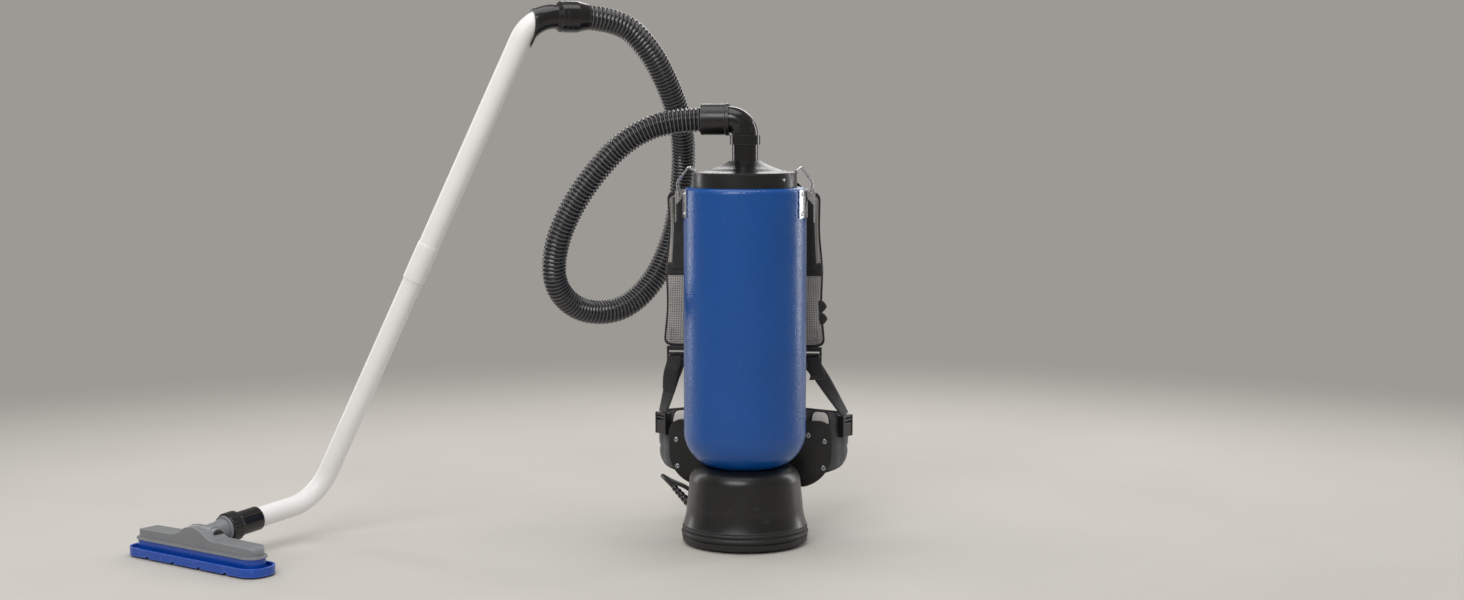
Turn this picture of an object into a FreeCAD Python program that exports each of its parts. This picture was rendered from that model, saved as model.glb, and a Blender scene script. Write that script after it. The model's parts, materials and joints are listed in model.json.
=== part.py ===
import FreeCAD, Part
import math
import os

# Backpack vacuum cleaner, millimetres, +Z up.
# Origin: centre of the base on the floor. The harness is on the +Y side and the hose leaves on the -X side.

V = FreeCAD.Vector
Z_AXIS = V(0, 0, 1)
os.makedirs("parts", exist_ok=True)

# Fits
contact_gap = 0.3           # between faces that pass each other
running_gap = 0.05          # between a shaft or pin and its hole
slip_gap = 0.08             # between two tubes that slide or turn in each other

# Tank: moulded canister with a rounded rim
tank_radius = 101.0
tank_wall = 3.0
tank_bottom_z = 126.0
tank_height = 464.0
tank_bottom_corner = 62.0
tank_rim_round = 8.0
tank_mouth_radius = 74.0
tank_outlet_radius = 30.0
tank_top_z = tank_bottom_z + tank_height

# Filter bag and its card collar
bag_wall_gap = 10.0
bag_floor_gap = 12.0
bag_top_gap = 14.0
bag_shoulder = 46.0
bag_waist = 3.0
bag_wall = 1.0
collar_seat = 4.0
collar_thickness = 1.5
collar_inlet_radius = 24.0

# Base: motor housing with a rounded shoulder and a flared skirt
base_wall = 3.0
base_seat_radius = 48.0
base_shoulder_radius = 26.0
base_rim_radius = 66.0
base_rim_rise = 4.0
base_waist_radius = 96.0
base_waist_z = 66.0
base_flare_radius = 102.5
base_flare_sag = 1.4
base_skirt_z = 33.0
boss_radius = 4.5
boss_circle = 84.0
boss_count = 4

# Bumper ring round the foot of the base
bumper_bottom_z = 3.0
bumper_bead = 3.0
bumper_wall = 9.5
bumper_toe = 4.0
bumper_step = 2.0

# Grille under the base, its feet and screws
grille_bottom_z = 6.0
grille_thickness = 4.0
grille_slot_width = 5.0
grille_slot_count = 24
grille_slot_inner = 30.0
grille_slot_outer = 56.0
foot_radius = 9.0
foot_circle = 70.0
foot_count = 4
screw_radius = 2.0
screw_head_radius = 4.0
screw_head_height = 2.2
screw_depth = 14.0

# Two-part bypass motor
fan_case_radius = 71.0
fan_case_wall = 2.0
fan_case_bottom_z = 74.0
gasket_thickness = 5.0
fan_eye_radius = 22.0
fan_port = 20.0
fan_port_count = 6
impeller_radius = 62.0
impeller_thickness = 1.5
impeller_blades = 8
impeller_gap = 6.0
impeller_hub_radius = 10.0
blade_lean = 38.0
motor_frame_radius = 48.0
motor_frame_wall = 2.5
motor_frame_bottom_z = 26.0
motor_vent = 16.0
motor_vent_count = 4
stack_height = 20.0
stack_z = 42.0
air_gap = 1.0
armature_radius = 30.0
commutator_radius = 11.0
commutator_height = 6.0
shaft_radius = 4.0
bearing_radius = 11.0
bearing_height = 7.0
bearing_wall = 3.0
carbon_side = 5.0
filter_outer_radius = 78.0
filter_wall = 14.0

# Rocker switch on the back of the base
switch_angle = 62.0
switch_z = 58.0
switch_width = 22.0
switch_height = 30.0
switch_depth = 18.0
switch_proud = 2.0
rocker_radius = 12.0
rocker_width = 15.0
rocker_set_back = 7.0
rocker_face = 6.0
rocker_tilt = 12.0
rocker_pin_radius = 1.5
rocker_pin_length = 2.0

# Lid: band, dome and inlet neck
band_radius = 85.0
band_wall = 2.8
band_gap = 0.6
band_height = 22.4
lid_wall = 3.0
lid_lip = 0.6
lid_lip_height = 1.6
lid_ledge_rise = 2.6
lid_ledge_inner = 63.0
dome_mid_radius = 53.0
dome_mid_rise = 8.0
dome_height = 20.0
dome_sag = 1.2
dome_top_radius = 25.7
gasket_width = 3.2
gasket_height = 3.0
neck_radius = 21.3
neck_wall = 2.5
neck_depth = 40.0
neck_top_z = 672.0

# Elbow that swivels on the neck
collar_radius = 24.8
collar_bottom_z = 659.5
collar_height = 15.5
elbow_bend = 25.5
elbow_leg = 20.0

# Hose: ribbed, open bore
hose_crest_radius = 20.5
hose_valley_radius = 18.9
hose_bore_radius = 16.5
hose_ribs = 180
hose_plug_in = 24.0
cuff_radius = 25.5
cuff_length_tank = 46.0
cuff_length_wand = 40.0
cuff_taper = 12.0
cuff_throat = 8.0
cuff_shoulder = 2.5
cuff_bead = 1.2
cuff_bead_length = 5.0

# Hose route, corner points from the elbow to the wand; the first and last lie inside the cuffs
hose_route = [
    V(-48, 0, 700.5),
    V(-123, 0, 700.5),
    V(-192, -8, 671),
    V(-244, -15, 617),
    V(-286, -16, 556),
    V(-316, -6, 489),
    V(-323, 24, 421),
    V(-287, 72, 374),
    V(-226, 116, 370),
    V(-178, 158, 409),
    V(-147, 188, 474),
    V(-131, 200, 545),
    V(-121, 182, 616),
    V(-118, 134, 687),
    V(-135, 83, 756),
    V(-164, 34, 821),
    V(-210, 2, 866),
    V(-276, -34, 866),
]

# Wand: bent grip, two tubes and their taper joint
grip_corner = 97.0
grip_radius = 19.8
grip_spigot_radius = 20.2
grip_spigot_end = 26.0
grip_collar_radius = 25.0
grip_collar_length = 8.0
grip_taper = 6.0
grip_bend = 60.0
grip_turn = 40.0
grip_bead = 1.3
grip_bead_length = 3.0
grip_run_on = 16.0
wand_radius = 17.3
wand_bore_radius = 15.2
wand_insert_turn = 16.0
bell_radius = 18.3
bell_length = 66.0
bell_end = 474.0
bell_step = 4.0
lower_radius = 16.6
lower_bore_radius = 14.4
spigot_radius = 15.9
spigot_length = 52.0
lower_bend = 70.0
lower_reach = 130.0
cuff_insert = 42.0

# Floor tool
tool_centre = V(-843, -244, 0)
tool_yaw = -30.6
tool_length = 308.0
tool_depth = 64.0
tool_lift = 3.0
tool_lip_height = 13.0
tool_lip_wall = 3.0
tool_web_z = 6.0
tower_length = 282.0
tower_depth = 38.0
tower_wall = 3.0
tower_top_z = 28.0
flange_overhang = 2.5
flange_thickness = 3.0
body_end_height = 14.0
hump_height = 32.0
body_wall = 3.0
body_inset = 3.0
hump_half_width = 44.0
hump_crest_half = 15.0
pivot_offset = 10.0
pivot_z = 46.0
barrel_radius = 15.4
barrel_half = 20.6
cheek_thickness = 9.0
cheek_radius = 14.0
pivot_pin_radius = 4.5
pivot_pin_depth = 6.0
pivot_cap_radius = 11.0
pivot_cap_thickness = 2.5
duct_half = 13.0
neck_pitch = 5.0
tool_neck_radius = 15.0
tool_neck_bore = 12.4
neck_spigot_radius = 14.6
neck_spigot_end = 58.0
neck_flange_radius = 21.0
neck_flange_at = 36.0
neck_flange_thickness = 4.0
nut_radius = 24.0
nut_length = 20.0
nut_ribs = 24
nut_rib_depth = 0.9
tool_cuff_radius = 19.6
tool_cuff_end = 105.0
strip_width = 5.0
strip_length = 250.0
notch_width = 7.0
notch_height = 3.0
notch_pitch = 62.0
notch_count = 4

# Draw latches at both sides of the tank
latch_plate_half_angle = 26.0
latch_plate_thickness = 1.6
latch_plate_bottom = 49.0
latch_plate_top = 3.0
rivet_radius = 3.5
rivet_height = 1.5
rivet_half_angle = 21.0
rivet_inset = 7.0
pivot_out = 8.5
pivot_drop = 7.0
ear_thickness = 1.6
ear_half = 5.0
ear_radius = 3.0
lever_half_width = 10.0
lever_length = 50.0
lever_plate = 1.8
lever_offset = 3.4
cheek_width = 1.8
latch_pin_radius = 2.0
latch_pin_run = 0.6
latch_head = 1.0
throw_radius = 12.0
throw_angle = 12.0
bail_wire = 1.25
bail_half_width = 13.8
bail_bulge = 10.5
hook_overlap = 2.0
hook_rise = 7.5
hook_reach = 8.5
wire_bend = 2.5

# Back frame, lumbar plate and their fasteners
plate_gap = 5.0
plate_thickness = 4.0
plate_half_width = 92.0
plate_bottom_z = 150.0
plate_top_z = 598.0
plate_corner = 26.0
standoff_radius = 9.0
standoff_x = 46.0
standoff_rows = (235.0, 545.0)
hip_plate_half = 140.0
hip_plate_bottom_z = 73.0
hip_plate_top_z = 187.0
hip_plate_toe_half = 92.0
hip_plate_waist_z = 130.0
hip_plate_corner = 22.0
button_radius = 5.0
button_height = 2.5
hip_screw_places = ((127.0, 152.0), (125.0, 106.0), (99.0, 162.0))

# Soft harness
back_pad_half = 66.0
back_pad_bottom_z = 330.0
back_pad_top_z = 540.0
back_pad_thickness = 14.0
back_pad_channels = 3
back_pad_channel_depth = 4.0
shoulder_width = 74.0
shoulder_thickness = 15.0
shoulder_spread = 99.0
shoulder_shift = -12.0
shoulder_top_z = 578.0
shoulder_bottom_z = 312.0
shoulder_start_gap = 6.0
shoulder_bow = 8.0
band_strap_z = 445.0
band_strap_height = 22.0
band_strap_thickness = 2.0
lock_width = 34.0
lock_height = 26.0
lock_thickness = 6.0
lock_offset = 15.0
webbing_width = 25.0
webbing_thickness = 1.8
hip_pad_thickness = 17.0
hip_pad_start = 62.0
hip_pad_bottom_z = 90.0
hip_pad_top_z = 208.0
hip_pad_rise = 34.0
hip_pad_sections = 16
hip_bend_x = 97.0
hip_bend_radius = 69.0
hip_wrap_radius = 200.0
hip_wrap_turn = 20.0
adjuster_stations = (7, 8)    # stations of the left and the right one along the pad's path
adjuster_drop = 40.0
adjuster_width = 31.0
adjuster_height = 37.0
adjuster_thickness = 12.0
belt_width = 38.0
belt_thickness = 2.2
belt_steps = ((0, 0, 0), (3.5, 9, -1), (9, 17.5, -3), (17, 25, -4), (26, 31, -4))
buckle_length = 34.0
buckle_height = 44.0
buckle_thickness = 9.0
buckle_prong = 22.0

# Pigtail cord
cord_radius = 4.0
relief_length = 55.0
relief_root_radius = 8.0
relief_tip_radius = 5.6
relief_rings = 6
gland_radius = 10.0
gland_length = 7.0
gland_stem_radius = 7.0
gland_stem_length = 7.0
cord_angle = 156.0
cord_exit_z = 46.0
cord_heading = V(-0.63, 0.60, 0.49)
cord_root_radius = 98.0
cord_start = 45.0
cord_route = [
    V(-143.8, 91.6, 87.5),
    V(-153, 115.7, 88),
    V(-150.7, 143.3, 79),
    V(-138, 170, 66),
    V(-118, 191, 54),
    V(-96, 206, 30),
    V(-69, 217, 12),
    V(-38, 222, 4.4),
    V(-10, 223, 4.2),
    V(17, 230, 4.2),
    V(35, 251, 4.2),
    V(35, 279, 4.2),
    V(17, 301, 9),
    V(-10, 308, 14),
    V(-34, 311, 14),
]
plug_length = 38.0
plug_radius = 14.0
plug_neck = 6.5
prong_length = 18.0
prong_gap = 12.7
prong_width = 6.4
prong_thickness = 1.5
ground_prong_radius = 2.4


def polar(radius, angle, z):
    """Point at a radius and an angle in degrees from +X."""
    turn = math.radians(angle)
    return V(radius * math.cos(turn), radius * math.sin(turn), z)


def disc(radius, z0, z1, centre=(0.0, 0.0)):
    """Upright cylinder from z0 to z1."""
    return Part.makeCylinder(radius, z1 - z0, V(centre[0], centre[1], z0), Z_AXIS)


def ring(outer, inner, z0, z1):
    """Upright ring about the Z axis."""
    return disc(outer, z0, z1).cut(disc(inner, z0 - 1, z1 + 1))


def box(x0, x1, y0, y1, z0, z1):
    """Box between two corners."""
    return Part.makeBox(x1 - x0, y1 - y0, z1 - z0, V(x0, y0, z0))


def rod(start, end, radius):
    """Round bar between two points."""
    along = end - start
    return Part.makeCylinder(radius, along.Length, start, along)


def outline(steps, place):
    """Closed wire through steps: a pair is a line's end, and two pairs are an arc's middle and end."""
    edges = []
    last = place(*steps[0])
    for step in steps[1:] + [steps[0]]:
        if isinstance(step[0], tuple):
            middle, end = place(*step[0]), place(*step[1])
            edges.append(Part.Arc(last, middle, end).toShape())
        else:
            end = place(*step)
            if end.distanceToPoint(last) < 1e-6:
                continue
            edges.append(Part.LineSegment(last, end).toShape())
        last = end
    return Part.Wire(edges)


def lathe(steps):
    """Solid of revolution about Z from a closed outline of (radius, z)."""
    face = Part.Face(outline(steps, lambda r, z: V(r, 0, z)))
    return face.revolve(V(0, 0, 0), Z_AXIS, 360)


def corner_arc(centre, radius, from_angle, to_angle):
    """Arc step about a centre: its middle and its end."""
    points = []
    for angle in ((from_angle + to_angle) / 2, to_angle):
        turn = math.radians(angle)
        points.append((centre[0] + radius * math.cos(turn), centre[1] + radius * math.sin(turn)))
    return tuple(points)


def along_axis(shape, origin, direction):
    """Move a shape built about +Z at zero so that its axis lies along a direction from an origin."""
    moved = shape.copy()
    moved.Placement = FreeCAD.Placement(origin, FreeCAD.Rotation(Z_AXIS, direction))
    return moved


def rounded_rectangle(half_x, half_y, corner, place):
    """Closed wire of a rectangle with round corners about zero."""
    steps = [(half_x, -half_y + corner), (half_x, half_y - corner)]
    steps.append(corner_arc((half_x - corner, half_y - corner), corner, 0, 90))
    steps.append((-half_x + corner, half_y))
    steps.append(corner_arc((-half_x + corner, half_y - corner), corner, 90, 180))
    steps.append((-half_x, -half_y + corner))
    steps.append(corner_arc((-half_x + corner, -half_y + corner), corner, 180, 270))
    steps.append((half_x - corner, -half_y))
    steps.append(corner_arc((half_x - corner, -half_y + corner), corner, 270, 360))
    return outline(steps, place)


def slab(half_x, half_y, corner, z0, z1):
    """Upright prism of a rectangle with round corners."""
    face = Part.Face(rounded_rectangle(half_x, half_y, corner, lambda x, y: V(x, y, z0)))
    return face.extrude(V(0, 0, z1 - z0))


def mirror_x(shape):
    """Mirror a shape to the other side of the YZ plane."""
    return shape.mirror(V(0, 0, 0), V(1, 0, 0))


def fuse_all(shapes):
    """Fuse a list of shapes into one clean solid."""
    whole = shapes[0]
    if len(shapes) > 1:
        whole = whole.multiFuse(shapes[1:])
    return whole.removeSplitter()


def arc_corner(before, corner, after, radius):
    """Tangent points and middle of the arc of a radius that rounds a corner."""
    toward = (before - corner).normalize()
    away = (after - corner).normalize()
    half = toward.getAngle(away) / 2
    cut = radius / math.tan(half)
    inward = (toward + away).normalize()
    centre = corner + inward * (radius / math.sin(half))
    return corner + toward * cut, centre - inward * radius, corner + away * cut


def cord_radii(points):
    """Largest arcs that a cord's runs allow: 0.45 of the shorter run over the tangent of half the turn."""
    radii = []
    for before, corner, after in zip(points, points[1:], points[2:]):
        shorter = min(before.distanceToPoint(corner), corner.distanceToPoint(after))
        turn = (corner - before).getAngle(after - corner)
        radii.append(0.45 * shorter / math.tan(turn / 2))
    return radii


def circle_at(point, direction, radius):
    """Circle wire square to a direction."""
    return Part.Wire(Part.Circle(point, direction, radius).toShape())


def pipe(path, radius):
    """Round solid swept along a wire."""
    first = path.OrderedEdges[0]
    start = first.valueAt(first.FirstParameter)
    heading = first.tangentAt(first.FirstParameter)
    if first.Orientation == "Reversed":
        start = first.valueAt(first.LastParameter)
        heading = first.tangentAt(first.LastParameter) * -1
    return path.makePipeShell([circle_at(start, heading, radius)], True, False)


def tube(path, outer, inner):
    """Hollow tube swept along a wire."""
    return pipe(path, outer).cut(pipe(path, inner))


def export(name, shape):
    """Write one sub-part's STEP file and print what it holds."""
    if shape.ShapeType == "Compound" and len(shape.Solids) == 1:
        shape = shape.Solids[0]
    shape.exportStep("parts/" + name + ".step")
    b = shape.BoundBox
    size = "%.0f x %.0f x %.0f" % (b.XLength, b.YLength, b.ZLength)
    print("%-24s solids %2d valid %s  %s" % (name, len(shape.Solids), shape.isValid(), size))


# Tank, bag and collar

def build_tank():
    """Hollow canister, open at the mouth and at the outlet to the motor."""
    top = tank_top_z
    straight_bottom = tank_bottom_z + tank_bottom_corner
    corner_centre = (tank_radius - tank_bottom_corner, straight_bottom)
    rim_centre = (tank_radius - tank_rim_round, top - tank_rim_round)
    inner = tank_radius - tank_wall
    steps = [
        (tank_outlet_radius, tank_bottom_z),
        (tank_radius - tank_bottom_corner, tank_bottom_z),
        corner_arc(corner_centre, tank_bottom_corner, -90, 0),
        (tank_radius, top - tank_rim_round),
        corner_arc(rim_centre, tank_rim_round, 0, 90),
        (tank_mouth_radius, top),
        (tank_mouth_radius, top - tank_wall),
        (tank_radius - tank_rim_round, top - tank_wall),
        corner_arc(rim_centre, tank_rim_round - tank_wall, 90, 0),
        (inner, straight_bottom),
        corner_arc(corner_centre, tank_bottom_corner - tank_wall, 0, -90),
        (tank_outlet_radius, tank_bottom_z + tank_wall),
    ]
    return lathe(steps)


def bag_form(inset, top):
    """Filled form of the bag up to a height, its wall moved in by a distance."""
    radius = tank_radius - tank_wall - bag_wall_gap
    low = tank_bottom_z + tank_wall + bag_floor_gap
    high = tank_top_z - tank_wall - bag_top_gap
    foot = (radius - bag_shoulder, low + bag_shoulder)
    shoulder = (radius - bag_shoulder, high - bag_shoulder)
    corner = bag_shoulder - inset
    steps = [
        (0, low + inset),
        (foot[0], low + inset),
        corner_arc(foot, corner, -90, 0),
        (radius - bag_waist - inset, (low + high) / 2),
        (radius - inset, shoulder[1]),
        corner_arc(shoulder, corner, 0, 90),
        (collar_inlet_radius - inset, high - inset),
        (collar_inlet_radius - inset, top),
        (0, top),
    ]
    return lathe(steps)


def build_filter_bag():
    """Paper bag, round-bottomed, with a soft waist, gathered to the collar and open there."""
    return bag_form(0, tank_top_z).cut(bag_form(bag_wall, tank_top_z + 1))


def build_bag_collar():
    """Card disc that hangs the bag on the tank's rim."""
    outer = tank_mouth_radius + collar_seat
    return ring(outer, collar_inlet_radius, tank_top_z, tank_top_z + collar_thickness)


# Base

def base_solid(inset):
    """Filled form of the motor housing, its wall moved in by a distance."""
    centre = (base_rim_radius, tank_bottom_z + base_rim_rise - base_shoulder_radius)
    flare_mid = (base_waist_radius + base_flare_radius) / 2 - base_flare_sag - inset
    steps = [
        (0, base_skirt_z),
        (base_flare_radius - inset, base_skirt_z),
        ((flare_mid, (base_waist_z + base_skirt_z) / 2), (base_waist_radius - inset, base_waist_z)),
        (base_rim_radius + base_shoulder_radius - inset, centre[1]),
        corner_arc(centre, base_shoulder_radius - inset, 0, 90),
        (base_seat_radius, tank_bottom_z - inset),
        (0, tank_bottom_z - inset),
    ]
    return lathe(steps)


def boss_places():
    """Centres of the screw bosses under the base."""
    places = []
    for i in range(boss_count):
        p = polar(boss_circle, 45 + 360 / boss_count * i, 0)
        places.append((p.x, p.y))
    return places


def build_base_shell():
    """Motor housing: dished seat for the tank, round shoulder, flared skirt and screw bosses."""
    shell = base_solid(0).cut(base_solid(base_wall))
    shell = shell.cut(disc(tank_outlet_radius, base_skirt_z, tank_bottom_z + 1))
    grille_top = grille_bottom_z + grille_thickness
    room = base_solid(base_wall / 2).fuse(disc(boss_circle + boss_radius + 1, grille_top, base_skirt_z))
    pieces = [shell]
    for place in boss_places():
        pieces.append(disc(boss_radius, grille_top, tank_bottom_z, place).common(room))
    whole = fuse_all(pieces)
    for place in boss_places():
        whole = whole.cut(disc(screw_radius, grille_bottom_z, grille_top + screw_depth, place))
    whole = whole.cut(switch_block(switch_depth))
    return whole.cut(gland_rod(gland_stem_radius, -gland_stem_length - base_wall, gland_length))


def build_bumper():
    """Moulded ring that closes the foot of the skirt, with two round beads above a plain band."""
    top = base_skirt_z
    edge = base_flare_radius
    pitch = (top - bumper_bottom_z) / 30.0
    steps = [
        (edge - bumper_wall, bumper_bottom_z),
        (edge - bumper_toe, bumper_bottom_z),
        (edge + bumper_step / 2, bumper_bottom_z + 3.5 * pitch),
        (edge + bumper_step, top - 19 * pitch),
        (edge + 0.3, top - 17.5 * pitch),
        ((edge + bumper_bead, top - 13 * pitch), (edge + 0.3, top - 9 * pitch)),
        (edge + 0.3, top - 7.5 * pitch),
        ((edge + bumper_bead / 2, top - 5 * pitch), (edge, top - 2.5 * pitch)),
        (edge, top),
        (edge - bumper_wall, top),
    ]
    return lathe(steps)


def build_grille():
    """Disc under the base with a ring of exhaust slots and screw holes."""
    top = grille_bottom_z + grille_thickness
    plate = disc(base_flare_radius - bumper_wall, grille_bottom_z, top)
    half = grille_slot_width / 2
    for i in range(grille_slot_count):
        slot = box(grille_slot_inner, grille_slot_outer, -half, half, grille_bottom_z - 1, top + 1)
        slot.rotate(V(0, 0, 0), Z_AXIS, 360 / grille_slot_count * i)
        plate = plate.cut(slot)
    for place in boss_places():
        plate = plate.cut(disc(screw_radius, grille_bottom_z - 1, top + 1, place))
    return plate


def build_feet():
    """Rubber feet: one at the centre and a ring of them near the rim."""
    feet = [disc(foot_radius, 0, grille_bottom_z)]
    for i in range(foot_count):
        p = polar(foot_circle, 360 / foot_count * i, 0)
        feet.append(disc(foot_radius, 0, grille_bottom_z, (p.x, p.y)))
    return Part.makeCompound(feet)


def build_base_screws():
    """Screws that hold the grille to the bosses."""
    screws = []
    top = grille_bottom_z + grille_thickness
    for place in boss_places():
        head = disc(screw_head_radius, grille_bottom_z - screw_head_height, grille_bottom_z, place)
        shank = disc(screw_radius, grille_bottom_z, top + screw_depth, place)
        screws.append(fuse_all([head, shank]))
    return Part.makeCompound(screws)


# Motor

fan_case_top_z = tank_bottom_z - base_wall - gasket_thickness


def build_motor_gasket():
    """Rubber ring between the fan case and the base."""
    inner = tank_outlet_radius + 2
    return ring(base_seat_radius, inner, fan_case_top_z, fan_case_top_z + gasket_thickness)


def build_fan_case():
    """Pressed cup round the impeller, with an eye on top and ports at the side."""
    inner = fan_case_radius - fan_case_wall
    low, high = fan_case_bottom_z, fan_case_top_z
    case = disc(fan_case_radius, low, high).cut(disc(inner, low + fan_case_wall, high - fan_case_wall))
    case = case.cut(disc(fan_eye_radius, high - fan_case_wall - 1, high + 1))
    case = case.cut(disc(shaft_radius + 1, low - 1, low + fan_case_wall + 1))
    middle = (low + high) / 2
    half = fan_port / 2
    for i in range(fan_port_count):
        port = box(inner - 3, fan_case_radius + 1, -half, half, middle - half, middle + half)
        port.rotate(V(0, 0, 0), Z_AXIS, 360 / fan_port_count * i)
        case = case.cut(port)
    return case


def build_impeller():
    """Fan wheel: two discs, leaning blades and a hub on the shaft."""
    low = fan_case_bottom_z + fan_case_wall + impeller_gap
    high = fan_case_top_z - fan_case_wall - impeller_gap
    back = disc(impeller_radius, low, low + impeller_thickness)
    front = ring(impeller_radius, fan_eye_radius, high - impeller_thickness, high)
    pieces = [back, front, disc(impeller_hub_radius, low, high)]
    reach = impeller_radius - fan_eye_radius
    for i in range(impeller_blades):
        blade = box(0, reach, 0, impeller_thickness, low, high)
        blade.rotate(V(0, 0, 0), Z_AXIS, blade_lean)
        blade.translate(V(fan_eye_radius, 0, 0))
        blade.rotate(V(0, 0, 0), Z_AXIS, 360 / impeller_blades * i)
        pieces.append(blade)
    wheel = fuse_all(pieces)
    return wheel.cut(disc(shaft_radius, low - 1, high + 1))


def bearing_floors():
    """Heights where the two bearings start."""
    low = motor_frame_bottom_z + motor_frame_wall
    return low, fan_case_bottom_z - motor_frame_wall - bearing_height


def build_motor_frame():
    """Motor shell with end plates, two bearing seats and windows."""
    inner = motor_frame_radius - motor_frame_wall
    low, high = motor_frame_bottom_z, fan_case_bottom_z
    room = disc(inner, low + motor_frame_wall, high - motor_frame_wall)
    shell = disc(motor_frame_radius, low, high).cut(room)
    seat_radius = bearing_radius + bearing_wall
    seats = [ring(seat_radius, bearing_radius, z, z + bearing_height) for z in bearing_floors()]
    frame = fuse_all([shell] + seats)
    frame = frame.cut(disc(shaft_radius + 1, low - 1, high + 1))
    half = motor_vent / 2
    for i in range(motor_vent_count):
        vent = box(inner - 3, motor_frame_radius + 1, -half, half, low + 5, stack_z - 4)
        vent.rotate(V(0, 0, 0), Z_AXIS, 45 + 360 / motor_vent_count * i)
        frame = frame.cut(vent)
    return frame


def build_field_stack():
    """Laminated field ring inside the motor shell."""
    outer = motor_frame_radius - motor_frame_wall
    return ring(outer, armature_radius + air_gap, stack_z, stack_z + stack_height)


def build_armature():
    """Wound rotor with its commutator, pressed on the shaft."""
    low = stack_z - commutator_height
    core = disc(armature_radius, stack_z, stack_z + stack_height)
    rotor = fuse_all([core, disc(commutator_radius, low, stack_z)])
    return rotor.cut(disc(shaft_radius, low - 1, stack_z + stack_height + 1))


def build_shaft():
    """Steel shaft from the lower bearing to the top of the impeller."""
    low = motor_frame_bottom_z + motor_frame_wall / 2
    return disc(shaft_radius, low, fan_case_top_z - fan_case_wall - impeller_gap + 1)


def build_bearings():
    """Two ball bearings as plain rings."""
    inner = shaft_radius + running_gap
    return Part.makeCompound([ring(bearing_radius, inner, z, z + bearing_height) for z in bearing_floors()])


def build_carbon_brushes():
    """Two carbon blocks that feed the commutator."""
    half = carbon_side / 2
    middle = stack_z - commutator_height / 2
    start = commutator_radius + running_gap
    end = motor_frame_radius - motor_frame_wall - contact_gap
    right = box(start, end, -half, half, middle - half, middle + half)
    return Part.makeCompound([right, mirror_x(right)])


def build_exhaust_filter():
    """Pleated ring that carries the fan case and cleans the exhaust."""
    top = grille_bottom_z + grille_thickness
    return ring(filter_outer_radius, filter_outer_radius - filter_wall, top, fan_case_bottom_z)


# Switch, on an axis that points out of the base's back

def radial(shape):
    """Turn a shape built about +X to the switch's heading."""
    turned = shape.copy()
    turned.rotate(V(0, 0, 0), Z_AXIS, switch_angle)
    return turned


def switch_block(beyond):
    """Block that the switch's housing fills, run on outwards by a distance."""
    front = base_waist_radius + switch_proud
    half_y = switch_width / 2
    low, high = switch_z - switch_height / 2, switch_z + switch_height / 2
    return radial(box(front - switch_depth, front + beyond, -half_y, half_y, low, high))


def rocker_centre():
    """Centre of the rocker's pivot before it is turned to its heading."""
    return V(base_waist_radius + switch_proud - rocker_set_back, 0, switch_z)


def across(radius, half, centre):
    """Cylinder along Y about a centre."""
    return Part.makeCylinder(radius, 2 * half, centre - V(0, half, 0), V(0, 1, 0))


def build_switch_housing():
    """Bezel with a round-backed pocket and two pin holes."""
    centre = rocker_centre()
    pocket = across(rocker_radius + contact_gap, rocker_width / 2 + contact_gap, centre)
    mouth_half = rocker_radius + contact_gap
    half_y = rocker_width / 2 + contact_gap
    low, high = centre.z - mouth_half, centre.z + mouth_half
    mouth = box(centre.x, centre.x + switch_depth, -half_y, half_y, low, high)
    pins = across(rocker_pin_radius + running_gap, rocker_width / 2 + rocker_pin_length + running_gap, centre)
    return switch_block(0).cut(radial(pocket.fuse(mouth).fuse(pins)))


def build_rocker():
    """Rocker: round back, two flat faces that meet in a shallow V, and its pins."""
    centre = rocker_centre()
    body = across(rocker_radius, rocker_width / 2, centre)
    for side in (-1, 1):
        low, high = sorted((0, side * 3 * rocker_radius))
        cutter = box(rocker_face, 3 * rocker_radius, -rocker_width, rocker_width, low, high)
        cutter.rotate(V(rocker_face, 0, 0), V(0, 1, 0), side * rocker_tilt)
        cutter.translate(centre)
        body = body.cut(cutter)
    pins = across(rocker_pin_radius, rocker_width / 2 + rocker_pin_length, centre)
    rocker = fuse_all([body, pins])
    rocker.rotate(centre, V(0, 1, 0), -rocker_tilt)
    return radial(rocker)


# Lid

band_top_z = tank_top_z + band_gap + band_height
dome_top_z = band_top_z + dome_height
band_inner_radius = band_radius - band_wall
lid_edge_radius = band_radius + lid_lip


def build_lid_cover():
    """Dome with a flat ledge, a lip over the band and a skirt inside it."""
    lip_top = band_top_z + lid_lip_height
    ledge_z = lip_top + lid_ledge_rise
    mid_z = band_top_z + dome_mid_rise
    skirt_inner = band_inner_radius - lid_wall
    sag = ((dome_mid_radius + dome_top_radius) / 2, (mid_z + dome_top_z) / 2 - dome_sag)
    steps = [
        (neck_radius, dome_top_z),
        (dome_top_radius, dome_top_z),
        (sag, (dome_mid_radius, mid_z)),
        (lid_ledge_inner, ledge_z),
        (lid_edge_radius, lip_top),
        (lid_edge_radius, band_top_z),
        (band_inner_radius, band_top_z),
        (band_inner_radius, tank_top_z + gasket_height),
        (skirt_inner, tank_top_z + gasket_height),
        (skirt_inner, lip_top - lid_wall),
        (lid_ledge_inner, ledge_z - lid_wall),
        (dome_mid_radius, mid_z - lid_wall),
        ((sag[0], sag[1] - lid_wall), (dome_top_radius, dome_top_z - lid_wall)),
        (neck_radius, dome_top_z - lid_wall),
    ]
    return lathe(steps)


def build_lid_band():
    """Bright band round the lid."""
    return ring(band_radius, band_inner_radius, tank_top_z + band_gap, band_top_z)


def build_lid_gasket():
    """Rubber ring between the lid and the tank's rim."""
    outer = band_inner_radius
    return ring(outer, outer - gasket_width, tank_top_z, tank_top_z + gasket_height)


def build_intake_neck():
    """Tube that the elbow turns on."""
    return ring(neck_radius, neck_radius - neck_wall, dome_top_z - neck_depth, neck_top_z)


# Elbow, cuffs and hose

elbow_centre_z = collar_bottom_z + collar_height
outlet_z = elbow_centre_z + elbow_bend
leg_end_x = -elbow_bend - elbow_leg
hose_start = V(leg_end_x - cuff_shoulder, 0, outlet_z)


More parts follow.
